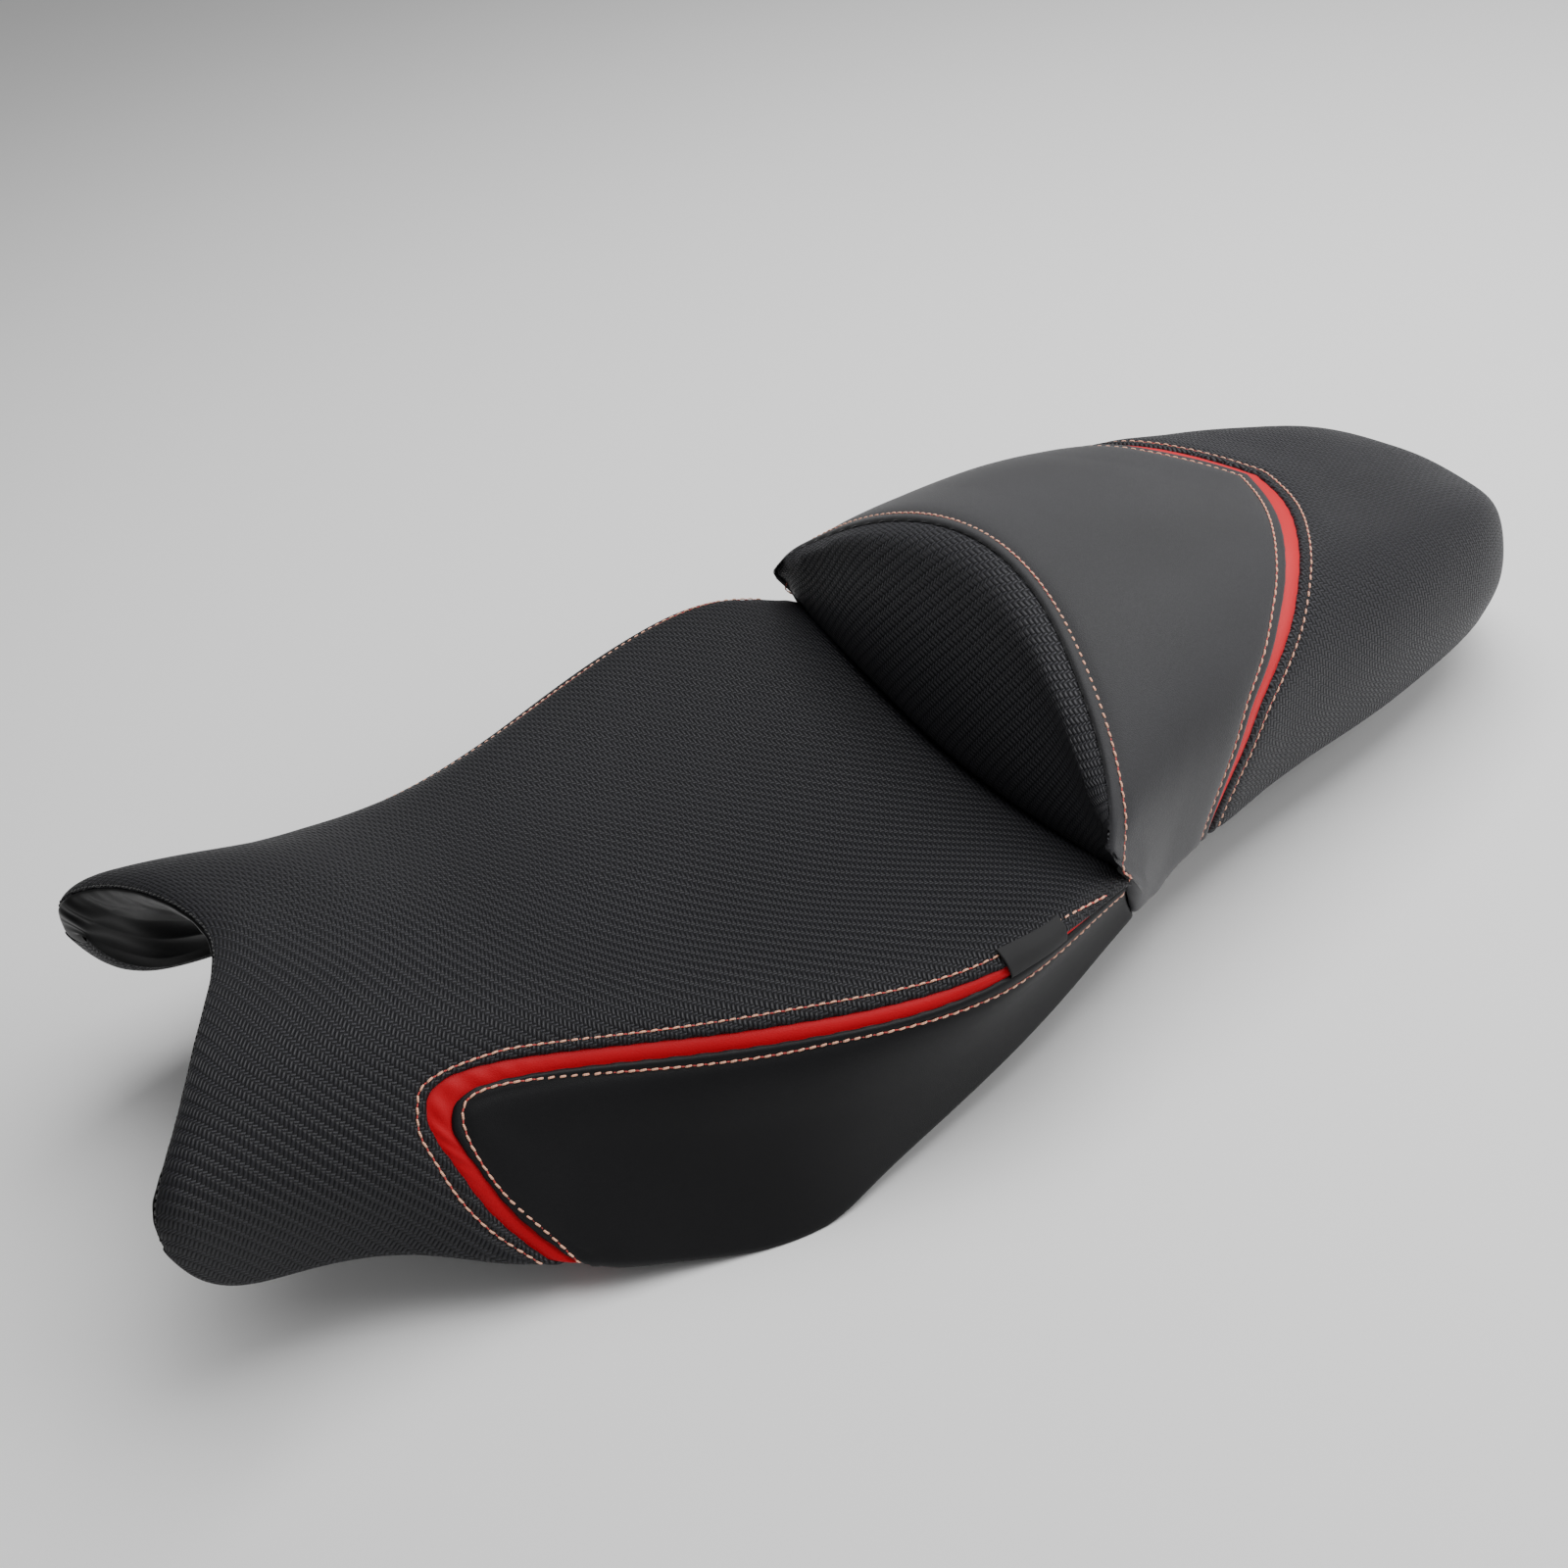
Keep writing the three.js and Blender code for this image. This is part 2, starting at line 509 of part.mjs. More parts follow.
function basePan() {
  const trim = abovePan();
  let solid = toSolid(layerOver(pan, panStations, panRails, PAN, 0));
  for (const extra of [...ribs(), ...bumperBosses(trim), ...hardwarePads(trim)]) solid = solid.add(extra);
  for (const [x, y] of rivetPlaces()) {
    solid = solid.subtract(toSolid(post(RIVET.shank + FIT, HOOK.top - 1, HOOK.top + 8, x, y, 12)));
  }
  for (const [x, y] of screwPlaces()) {
    solid = solid.subtract(toSolid(post(SCREW.shank + FIT, STRIKER.top - 1, STRIKER.top + 6, x, y, 12)));
  }
  for (const { x, y, foot } of BUMPERS) {
    for (const side of [1, -1]) {
      const bottom = foot + BUMPER.height + FIT;
      const hole = post(BUMPER.stem + FIT, bottom - 20, bottom + BUMPER.stemLength, x, side * y, 12);
      solid = solid.subtract(toSolid(hole));
    }
  }
  return toGeometry(solid);
}

// ---------------------------------------------------------------- hardware
const rivetPlaces = () => [1, -1].map((side) => [HOOK.x - 4, side * 11]);
const screwPlaces = () => [1, -1].map((side) => [STRIKER.x, side * 24]);

/** A steel strip bent down and forward, so that its tongue slips under the frame's cross bar. */
function frontHook() {
  const { x, base, thickness, drop, tongue, top, width } = HOOK;
  const back = x - base / 2;
  const front = x + base / 2;
  const shape = new THREE.Shape();
  shape.moveTo(back, top);
  shape.lineTo(front, top);
  shape.lineTo(front, top - drop + thickness);
  shape.lineTo(front + tongue, top - drop + thickness);
  shape.lineTo(front + tongue, top - drop);
  shape.lineTo(front - thickness, top - drop);
  shape.lineTo(front - thickness, top - thickness);
  shape.lineTo(back, top - thickness);
  shape.closePath();
  let solid = toSolid(sideProfile(shape, width));
  for (const [px, py] of rivetPlaces()) {
    solid = solid.subtract(toSolid(post(RIVET.shank + FIT, top - 4, top + 1, px, py, 12)));
  }
  return toGeometry(solid);
}

/** A headed fastener from below: the head sits under a plate and the shank runs up. */
const fastener = ({ shank, head, headHeight }, length, sides) =>
  turned([[0, -headHeight], [head * 0.7, -headHeight], [head, -headHeight * 0.4], [head, 0],
    [shank, 0], [shank, length], [0, length]], sides);

function strikerPlate() {
  const { x, length, width, thickness, top } = STRIKER;
  let solid = toSolid(box(length, width, thickness, x, 0, top - thickness / 2));
  for (const [px, py] of screwPlaces()) {
    solid = solid.subtract(toSolid(post(SCREW.shank + FIT, top - 5, top + 1, px, py, 12)));
  }
  return toGeometry(solid);
}

/** A round steel bar bent to a U, which the latch closes on. */
function strikerLoop() {
  const { x, rod, half, foot, top, thickness } = STRIKER;
  const start = top - thickness - FIT;
  const low = foot + rod;
  const route = new THREE.CurvePath();
  const at = (y, z) => new THREE.Vector3(x, y, z);
  route.add(new THREE.LineCurve3(at(half, start), at(half, low + half)));
  const bend = (y0, z0, y1, z1, y2, z2) => new THREE.QuadraticBezierCurve3(at(y0, z0), at(y1, z1), at(y2, z2));
  route.add(bend(half, low + half, half, low, 0, low));
  route.add(bend(0, low, -half, low, -half, low + half));
  route.add(new THREE.LineCurve3(at(-half, low + half), at(-half, start)));
  const section = new THREE.Shape();
  section.absarc(0, 0, rod, 0, 2 * Math.PI);
  return new THREE.ExtrudeGeometry(section, { steps: 14, curveSegments: 4, extrudePath: route });
}

const bumper = () => {
  const { radius, height, stem, stemLength } = BUMPER;
  return turned([[0, 0], [radius - 2, 0], [radius, 2], [radius, height], [stem, height],
    [stem, height + stemLength - FIT], [0, height + stemLength - FIT]]);
};

// ---------------------------------------------------------------- assembly
function meshOf(name, geometry, look, x = 0, y = 0, z = 0) {
  const mesh = new THREE.Mesh(geometry, look);
  mesh.name = name;
  mesh.position.set(x, y, z);
  return mesh;
}

const seat = new THREE.Group();
seat.add(meshOf('base_pan', basePan(), PLASTIC));
seat.add(meshOf('rider_foam', riderFoam(), FOAM));
seat.add(meshOf('pillion_foam', pillionFoam(), FOAM));
seat.add(meshOf('valley_tie_strip', tieStrip(), TAPE));
seat.add(meshOf('rider_top_panel', riderTopPanel(), TWILL_VINYL));
for (const [name, side] of [['left', 1], ['right', -1]]) {
  seat.add(meshOf(`side_panel_${name}`, sidePanel(side), SMOOTH_VINYL));
  seat.add(meshOf(`side_accent_${name}`, sideAccent(side), RED_VINYL));
}
seat.add(meshOf('step_panel', stepPanel(), TWILL_VINYL));
seat.add(meshOf('pillion_front_panel', pillionFrontPanel(), SUEDE_VINYL));
seat.add(meshOf('pillion_accent', pillionAccent(), RED_VINYL));
seat.add(meshOf('tail_panel', tailPanel(), TWILL_VINYL));
seat.add(meshOf('nose_lining', noseLining(), LINING_VINYL));
seat.add(meshOf('label_tag', labelTag(), TAPE));
seat.add(meshOf('front_hook', frontHook(), ZINC));
rivetPlaces().forEach(([x, y], i) => {
  const rivet = fastener(RIVET, 6, 12);
  seat.add(meshOf(`front_hook_rivet_${i + 1}`, rivet, ZINC, x, y, HOOK.top - HOOK.thickness - FIT));
});
seat.add(meshOf('striker_plate', strikerPlate(), ZINC));
seat.add(meshOf('striker_loop', strikerLoop(), ZINC));
screwPlaces().forEach(([x, y], i) => {
  const screw = fastener(SCREW, 8, 12);
  seat.add(meshOf(`striker_screw_${i + 1}`, screw, ZINC, x, y, STRIKER.top - STRIKER.thickness - FIT));
});
for (const { name, x, y, foot } of BUMPERS) {
  for (const [sideName, side] of [['left', 1], ['right', -1]]) {
    seat.add(meshOf(`bumper_${name}_${sideName}`, bumper(), RUBBER, x, side * y, foot));
  }
}

export default seat;
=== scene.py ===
"""Looks of a one-piece motorcycle seat: sewn cover panels, recessed accents, stitching, hem and hardware."""
import math

import bpy
import numpy as np
from mathutils import Matrix, Vector, kdtree
from mathutils.geometry import delaunay_2d_cdt


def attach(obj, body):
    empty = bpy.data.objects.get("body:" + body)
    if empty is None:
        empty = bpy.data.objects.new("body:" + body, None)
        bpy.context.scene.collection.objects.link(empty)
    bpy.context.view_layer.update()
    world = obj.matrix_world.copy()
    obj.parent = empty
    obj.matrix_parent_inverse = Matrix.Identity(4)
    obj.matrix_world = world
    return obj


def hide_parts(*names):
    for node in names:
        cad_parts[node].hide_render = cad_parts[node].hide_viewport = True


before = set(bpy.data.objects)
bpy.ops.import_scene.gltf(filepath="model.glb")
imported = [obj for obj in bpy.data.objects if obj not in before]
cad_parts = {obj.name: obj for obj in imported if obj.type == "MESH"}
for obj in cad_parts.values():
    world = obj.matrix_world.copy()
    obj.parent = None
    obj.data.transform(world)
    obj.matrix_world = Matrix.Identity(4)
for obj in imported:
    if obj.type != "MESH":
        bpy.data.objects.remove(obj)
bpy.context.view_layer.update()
STEP_MM = 3.0  # mesh size away from the seams
ROW_MM = 1.5  # mesh size along the seams

# -------------------- shape of the seat, in millimetres
# Half sections from nose to tail; each lists points from the centre line out to the lower edge.
RIDER_SECTIONS = [
    [(298, 0, 123), (312, 46, 123), (334, 84, 113), (350, 103, 101), (354, 107, 86)],
    [(284, 0, 123), (298, 46, 124), (320, 84, 117), (339, 108, 98), (348, 110, 67)],
    [(264, 0, 116), (270, 44, 118), (290, 82, 111), (311, 107, 84), (328, 110, 50)],
    [(232, 0, 105), (236, 46, 106), (248, 85, 98), (267, 112, 68), (283, 117, 39)],
    [(194, 0, 90), (196, 50, 91), (200, 97, 86), (216, 124, 52), (224, 144, 18)],
    [(150, 0, 75), (151, 58, 77), (151, 117, 79), (153, 147, 42), (150, 171, 2)],
    [(103, 0, 64), (103, 68, 69), (102, 139, 77), (104, 162, 44), (105, 171, 8)],
    [(53, 0, 57), (53, 74, 64), (51, 156, 77), (52, 164, 46), (54, 162, 17)],
    [(3, 0, 53), (3, 78, 62), (3, 156, 78), (4, 157, 56), (4, 153, 29)],
    [(-38, 0, 51), (-38, 72, 58), (-38, 138, 69), (-40, 142, 57), (-44, 140, 43)],
]
PILLION_SECTIONS = [
    [(-38, 0, 51), (-38, 50, 54), (-38, 90, 59), (-38, 124, 65), (-38, 139, 69), (-44, 140, 43)],
    [(-42, 0, 84), (-40, 48, 84), (-38, 88, 82), (-37, 122, 80), (-37, 144, 75), (-49, 139, 43)],
    [(-57, 0, 126), (-54, 46, 124), (-47, 88, 115), (-38, 124, 98), (-35, 147, 80), (-55, 137, 43)],
    [(-75, 0, 148), (-70, 48, 143), (-58, 92, 128), (-44, 128, 108), (-36, 146, 86), (-62, 134, 43)],
    [(-122, 0, 147), (-121, 48, 145), (-116, 88, 135), (-104, 120, 108), (-92, 127, 74), (-90, 122, 43)],
    [(-172, 0, 138), (-172, 46, 137), (-172, 80, 128), (-168, 104, 103), (-162, 111, 70), (-158, 106, 42)],
    [(-227, 0, 124), (-227, 42, 123), (-227, 74, 118), (-227, 94, 97), (-225, 98, 68), (-222, 94, 40)],
    [(-282, 0, 111), (-282, 38, 110), (-282, 66, 104), (-282, 81, 86), (-282, 84, 62), (-280, 79, 39)],
    [(-324, 0, 96), (-324, 30, 94), (-324, 53, 89), (-322, 64, 73), (-320, 66, 53), (-318, 60, 36)],
    [(-347, 0, 73), (-347, 17, 72), (-345, 32, 67), (-341, 41, 56), (-339, 42, 44), (-335, 39, 33)],
    [(-353, 0, 32), (-353, 7, 32), (-353, 13, 32), (-352, 18, 32), (-351, 21, 31), (-349, 25, 29)],
]
PAN_SECTIONS = [
    [(290, 0, 112), (305, 44, 112), (326, 77, 104), (341, 94, 93), (346, 98, 84)],
    [(276, 0, 104), (290, 42, 104), (312, 73, 96), (331, 93, 83), (340, 100, 65)],
    [(258, 0, 88), (264, 42, 87), (284, 71, 80), (305, 92, 66), (320, 100, 49)],
    [(230, 0, 74), (233, 42, 73), (244, 72, 66), (262, 97, 51), (276, 106, 38)],
    [(194, 0, 59), (195, 46, 58), (199, 84, 52), (213, 112, 36), (222, 134, 17)],
    [(150, 0, 45), (151, 55, 44), (151, 100, 38), (153, 134, 24), (150, 161, 2)],
    [(103, 0, 35), (103, 62, 34), (103, 112, 31), (104, 146, 22), (105, 161, 8)],
    [(53, 0, 29), (53, 66, 29), (52, 118, 28), (52, 146, 23), (54, 152, 17)],
    [(3, 0, 26), (3, 66, 26), (3, 112, 27), (4, 134, 28), (4, 143, 29)],
    [(-38, 0, 28), (-38, 60, 29), (-38, 104, 33), (-39, 124, 38), (-43, 131, 42)],
    [(-122, 0, 41), (-120, 46, 41), (-112, 80, 41), (-98, 102, 42), (-88, 113, 43)],
    [(-172, 0, 42), (-172, 44, 42), (-170, 74, 42), (-164, 91, 42), (-158, 97, 42)],
    [(-227, 0, 40), (-227, 40, 40), (-227, 66, 40), (-224, 80, 40), (-222, 85, 40)],
    [(-282, 0, 38), (-282, 34, 38), (-282, 54, 38), (-281, 66, 39), (-280, 70, 39)],
    [(-322, 0, 35), (-322, 26, 35), (-321, 42, 35), (-319, 49, 36), (-318, 53, 36)],
    [(-340, 0, 32), (-340, 13, 32), (-338, 23, 32), (-336, 29, 33), (-335, 33, 33)],
    [(-346, 0, 30), (-346, 6, 30), (-345, 12, 30), (-344, 17, 30), (-343, 21, 29)],
]
VALLEY = 9  # the pan station below the crease
EDGE = 0.1  # how far the pan stops short of the cover's edge, in stations or rails
HEM = 0.94  # share of the hem that each panel has
HEM_OFF = 1.9  # millimetres from the pan's underside to the hem
HEM_STEP = 3.6  # millimetres of hem on the pan for each of its four steps

# Seams and stitch rows as [station, rail] on the rider's or the pillion's surface.
# UPPER_ROW, LOWER_ROW and the PILLION_STRIP lists are mostly what a scratch program printed after it traced the
# photo and cast the lines onto these surfaces. The other lists were chosen near such values.
ACCENT_OUTER = [(3.88, 4), (3.64, 3.55), (3.41, 3.05), (3.2, 2.68), (3.18, 2.36), (3.55, 2.19),
                (4.4, 2.14), (5.6, 2.14), (6.6, 2.15), (7.3, 2.20), (7.9, 2.33), (8.4, 2.45), (9, 2.58)]
ACCENT_INNER = [(4, 4), (3.77, 3.55), (3.54, 3.05), (3.35, 2.7), (3.37, 2.46), (3.64, 2.33),
                (4.4, 2.28), (5.6, 2.29), (6.6, 2.31), (7.3, 2.36), (7.9, 2.45), (8.4, 2.49), (9, 2.61)]
UPPER_ROW = [(3.81, 4), (3.65, 3.77), (3.5, 3.5), (3.35, 3.19), (3.21, 2.9), (3.1, 2.67), (3.08, 2.46),
             (3.1, 2.33), (3.2, 2.24), (3.4, 2.16), (3.67, 2.09), (4, 2.06), (5.08, 2.03), (6.16, 2.01),
             (7.1, 2.04), (7.9, 2.07), (8.35, 2.16), (8.66, 2.29)]
LOWER_ROW = [(4.02, 4), (3.92, 3.72), (3.76, 3.4), (3.61, 3.09), (3.48, 2.81), (3.42, 2.62), (3.43, 2.48),
             (3.53, 2.4), (3.72, 2.36), (3.97, 2.35), (4.46, 2.36), (5.48, 2.39), (6.03, 2.39), (6.85, 2.45),
             (7.36, 2.55), (8.03, 2.67), (8.6, 2.73), (8.96, 2.78)]
STEP_SEAM = [(3, 0), (3, 1), (3, 2), (3, 3), (2.98, 3.6), (2.8, 3.86), (2.4, 3.97), (1.8, 4), (1, 4), (0, 4)]
STEP_ROW = [(3.13, 0), (3.13, 1), (3.14, 2), (3.16, 3), (3.19, 3.6), (3.12, 3.95), (2.95, 4.19),
            (2.5, 4.3), (1.8, 4.33), (1.1, 4.37), (0.5, 4.45)]
PILLION_STRIP_FRONT = [(5.91, 0), (5.71, 0.66), (5.42, 1.34), (5.17, 1.87), (4.98, 2.25), (4.81, 2.54),
                       (4.67, 2.79), (4.53, 3.02), (4.40, 3.25), (4.33, 3.53), (4.28, 3.86), (4.23, 4.25), (4.17, 5)]
PILLION_STRIP_REAR = [(5.99, 0), (5.82, 0.71), (5.53, 1.41), (5.29, 1.94), (5.10, 2.32), (4.94, 2.62),
                      (4.78, 2.87), (4.62, 3.10), (4.49, 3.33), (4.41, 3.60), (4.34, 3.93), (4.28, 4.30), (4.21, 5)]
NOSE_SEAM = 0.1  # station where the top panel meets the lining
STITCH = 4.4  # pitch of the decorative stitching


# -------------------- surfaces
def bend_matrix(n):
    """Second derivatives of the natural cubic spline through n even points, as a matrix on the points."""
    a = np.eye(n)
    b = np.zeros((n, n))
    for i in range(1, n - 1):
        a[i, i - 1:i + 2] = (1, 4, 1)
        b[i, i - 1:i + 2] = (6, -12, 6)
    return np.linalg.solve(a, b)


def weights(bend, t):
    n = len(bend)
    i = np.clip(np.floor(t).astype(int), 0, n - 2)
    f = t - i
    g = 1 - f
    w = bend[i] * ((g ** 3 - g) / 6)[:, None] + bend[i + 1] * ((f ** 3 - f) / 6)[:, None]
    rows = np.arange(len(t))
    w[rows, i] += g
    w[rows, i + 1] += f
    return w


class Surface:
    """A smooth surface through mirrored half sections, addressed as [station, rail]."""

    def __init__(self, sections):
        half = np.array(sections, float)
        mirror = half[:, :0:-1] * (1, -1, 1)
        self.grid = np.concatenate([mirror, half], axis=1)
        self.outer = half.shape[1] - 1
        self.last = half.shape[0] - 1
        self.along = bend_matrix(self.grid.shape[0])
        self.across = bend_matrix(self.grid.shape[1])

    def at(self, s, r):
        s, r = np.broadcast_arrays(np.asarray(s, float), np.asarray(r, float))
        ws = weights(self.along, s.ravel())
        wr = weights(self.across, r.ravel() + self.outer)
        points = np.einsum("nj,njk->nk", wr, np.tensordot(ws, self.grid, (1, 0)))
        return points.reshape(s.shape + (3,))


def bezier(a, b, c, d, t):
    return a * (1 - t) ** 3 + b * 3 * t * (1 - t) ** 2 + c * 3 * t ** 2 * (1 - t) + d * t ** 3


def steps_of(points):
    """The length of each step along a line of points."""
    return np.linalg.norm(np.diff(points, axis=0), axis=1)


def run(steps):
    """The length run at each point of a line, from the lengths of its steps."""
    return np.concatenate([[0], np.cumsum(steps)])


def unit(v):
    return v / np.maximum(np.linalg.norm(v, axis=-1, keepdims=True), 1e-9)


def partials(at, s, r, h=0.01):
    return (at(s + h, r) - at(s - h, r)) / (2 * h), (at(s, r + h) - at(s, r - h)) / (2 * h)


def normals(at, s, r, h=0.01):
    ds, dr = partials(at, s, r, h)
    return unit(np.cross(dr, ds))


class Cover(Surface):
    """A cover surface that goes on past its lower edge, round the pan's edge and along its underside.

    One unit of station or rail past the edge is the whole hem."""

    def __init__(self, sections, pan, pan_station, wraps_tail):
        super().__init__(sections)
        self.pan = pan
        self.pan_station = pan_station
        self.wraps_tail = wraps_tail

    def surface(self, s, r):
        return Surface.at(self, s, r)

    def at(self, s, r):
        s, r = np.broadcast_arrays(np.asarray(s, float), np.asarray(r, float))
        shape = s.shape
        s, r = s.ravel(), r.ravel()
        over_r = np.maximum(np.abs(r) - self.outer, 0)
        over_s = np.maximum(s - self.last, 0) if self.wraps_tail else np.zeros_like(s)
        points = self.surface(s, r)
        e = np.hypot(over_r, over_s)
        k = np.nonzero(e > 0)[0]
        if len(k):
            points[k] = self.hem(s[k], r[k], over_s[k] / e[k], over_r[k] / e[k], np.minimum(e[k], 1))
        return points.reshape(shape + (3,))

    def hem(self, s, r, ws, wr, e):
        sc = np.minimum(s, self.last) if self.wraps_tail else s
        side = np.sign(r)
        rc = np.clip(r, -self.outer, self.outer)
        edge = self.surface(sc, rc)
        ds, dr = partials(self.surface, sc, rc)
        out = unit(unit(dr) * (side * wr)[:, None] + unit(ds) * ws[:, None])
        ps = np.clip(self.pan_station(sc), EDGE, self.pan.last - EDGE)
        pr = rc * (self.pan.outer - EDGE) / self.outer
        path = []
        for _ in range(5):
            n = normals(self.pan.at, ps, pr)
            path.append(self.pan.at(ps, pr) - n * HEM_OFF)
            ds, dr = partials(self.pan.at, ps, pr)
            ps = ps - ws * HEM_STEP / np.maximum(np.linalg.norm(ds, axis=1), 4)
            pr = pr - side * wr * HEM_STEP / np.maximum(np.linalg.norm(dr, axis=1), 4)
        reach = np.linalg.norm(path[0] - edge, axis=1, keepdims=True)
        b1 = edge + out * (0.4 * reach + 0.5) * (1 - 1.5 * ws * wr)[:, None]
        b2 = path[0] + unit(path[0] - path[1]) * (0.45 * reach + 0.5)
        t = np.clip(e * 2, 0, 1)[:, None]
        turn = bezier(edge, b1, b2, path[0], t)
        u = np.clip(e * 2 - 1, 0, 1) * 4
        i = np.clip(np.floor(u).astype(int), 0, 3)
        f = (u - i)[:, None]
        stack = np.array(path)
        rows = np.arange(len(e))
        inside = stack[i, rows] * (1 - f) + stack[i + 1, rows] * f
        points = np.where((e > 0.5)[:, None], inside, turn)
        points[:, 2] = np.maximum(points[:, 2], 0.2)  # never under the floor
        return points

    def plane(self, places):
        """Places laid out flat, without folding: rails to the side, stations along."""
        return np.stack([np.interp(places[:, 1], *self.plane_x), np.interp(places[:, 0], *self.plane_y)], axis=1)

    def hem_row(self, e):
        """Places round the lower edge, a share of the hem past it."""
        rail = self.outer + e
        if not self.wraps_tail:
            half = straight((0, rail), (self.last, rail), 300)
            half = evenly(self, half, 1.2 * ROW_MM, dense=True)
            return np.concatenate([half, half * (1, -1)])
        angle = np.linspace(0, math.pi / 2, 60)
        bend = np.stack([self.last + max(e, 0) * np.sin(angle), self.outer + max(e, 0) * np.cos(angle)], axis=1)
        if e < 0:
            bend = np.array([(self.last + e, self.outer + e)])
        half = np.concatenate([straight((0, rail), (self.last + min(e, 0), rail), 300), bend,
                               straight((self.last + e, self.outer + min(e, 0)), (self.last + e, 0), 60)])
        half = evenly(self, half, 1.2 * ROW_MM, dense=True)
        return np.concatenate([half, half[:-1] * (1, -1)])


pan = Surface(PAN_SECTIONS)
rider = Cover(RIDER_SECTIONS, pan, lambda s: s, False)
pillion = Cover(PILLION_SECTIONS, pan,
                lambda s: np.where(s < 4, VALLEY + s / 4, s - 4 + VALLEY + 1), True)


def fabric_map(cover):
    """The station and rail grid, and the cloth's own coordinates on it, in millimetres.

    They are arc lengths, stretched over the broad top and relaxed down the flanks."""
    low = -0.2
    high = cover.last + (1 if cover.wraps_tail else 0.1)
    s = np.linspace(low, high, 170)
    r = np.linspace(-cover.outer - 1, cover.outer + 1, 201)
    points = cover.at(s[:, None], r[None, :])
    du = np.linalg.norm(np.diff(points, axis=1), axis=2)
    dv = np.linalg.norm(np.diff(points, axis=0), axis=2)
    middle = 0.5 * (r[1:] + r[:-1])
    relax = np.interp(np.abs(middle), [0, 0.8, 1.6, 2.1, 5], [0.82, 0.86, 0.88, 1.18, 1.24])
    sideways = lambda step: np.concatenate([np.zeros((len(s), 1)), np.cumsum(step, axis=1)], axis=1)
    along = lambda step: np.concatenate([np.zeros((1, len(r))), np.cumsum(step, axis=0)], axis=0)
    centred = lambda grid: grid - grid[:, [100]]
    cover.plane_x = r, centred(sideways(du)).mean(axis=0)
    cover.plane_y = s, along(dv).mean(axis=1)
    return s, r, centred(sideways(du * relax)), along(0.5 * dv + 0.5 * dv.mean(axis=1, keepdims=True))


def look_up(table, s, r):
    gs, gr, u, v = table
    x = np.clip((s - gs[0]) / (gs[1] - gs[0]), 0, len(gs) - 1.001)
    y = np.clip((r - gr[0]) / (gr[1] - gr[0]), 0, len(gr) - 1.001)
    i, j = x.astype(int), y.astype(int)
    fx, fy = x - i, y - j
    return [(1 - fx) * (1 - fy) * g[i, j] + fx * (1 - fy) * g[i + 1, j] + (1 - fx) * fy * g[i, j + 1]
            + fx * fy * g[i + 1, j + 1] for g in (u, v)]


for cover in (rider, pillion):
    cover.fabric = fabric_map(cover)


# -------------------- curves on the surface
def straight(a, b, samples=60):
    return np.linspace(a, b, samples)


def curve(points, samples=700):
    """A smooth line through places."""
    p = np.array(points, float)
    t = np.linspace(0, len(p) - 1, samples)
    return weights(bend_matrix(len(p)), t) @ p


def evenly(cover, line, spacing=0.0, dense=False, count=0):
    """Places along a line of [station, rail] places, evenly spaced in millimetres, or so many of them.

    A dense line is also no coarser than that when it is laid out flat."""
    points = cover.at(*line.T)
    steps = steps_of(points)
    if dense:
        steps = np.maximum(steps, steps_of(cover.plane(line)) / 1.4)
    length = run(steps)
    if not count:
        count = max(int(round(length[-1] / spacing)), 1) + 1
    want = np.linspace(0, length[-1], count)
    return np.stack([np.interp(want, length, line[:, k]) for k in (0, 1)], axis=1)


def tree_of(points):
    tree = kdtree.KDTree(len(points))
    for i, p in enumerate(points):
        tree.insert(p, i)
    tree.balance()
    return tree


def tree_along(cover, line):
    return tree_of(cover.at(*evenly(cover, line, 0.7).T))


def distances(points, tree):
    return np.array([tree.find(p)[2] for p in points])


def mirrored(line):
    """The same line on the other side."""
    return line[::-1] * (1, -1)


def across(cover, places):
    """At each place along a line: point, direction, outward normal and sideways step in [station, rail]."""
    s, r = places[:, 0], places[:, 1]
    t = np.gradient(places, axis=0)
    ds, dr = partials(cover.at, s, r)
    n = unit(np.cross(dr, ds))
    direction = unit(ds * t[:, [0]] + dr * t[:, [1]])
    side = np.cross(n, direction)
    a, b, c = (ds * ds).sum(1), (ds * dr).sum(1), (dr * dr).sum(1)
    p, q = (side * ds).sum(1), (side * dr).sum(1)
    det = np.maximum(a * c - b * b, 1e-6)
    step = np.stack([(c * p - b * q) / det, (a * q - b * p) / det], axis=1)
    return cover.at(s, r), direction, n, side, step


# Height over the surface against the distance to a seam, in millimetres.
FOLD = ([0, 0.2, 0.5, 0.9, 1.5, 2.3, 3.2, 4.2, 5.2, 6.5, 9, 13, 20, 32],
        [-3.2, -1.3, -0.35, 0.15, 0.45, 0.55, 0.5, 0.35, 0.35, 0.6, 0.85, 0.9, 0.55, 0])
CREASE = ([0, 0.8, 1.7, 3, 5, 8, 12], [-7.0, -4.4, -2.9, -1.6, -0.7, -0.2, 0])
INTO_CREASE = (-0.62, 0, -0.78)  # the way both cushions turn down into the crease
CREASE_END = (-37, 144, 73)  # where the crease reaches the left flank
ROW_DEPTH = 0.42  # how far a stitch row pulls the cover down
NOSE = ([0, 0.35, 0.8, 1.5, 2.5, 4, 8, 14], [-1.8, -0.9, -0.3, 0.05, 0.2, 0.25, 0.15, 0])
UNDER = ([0, 1, 2.2, 3.5, 5.5, 9, 15, 24], [-2.2, -1.7, -1.15, -0.6, -0.1, 0.35, 0.4, 0])
BUTT = ([0, 0.3, 0.8, 1.6, 3, 6, 12], [-2.2, -1.1, -0.4, 0, 0.15, 0.12, 0])
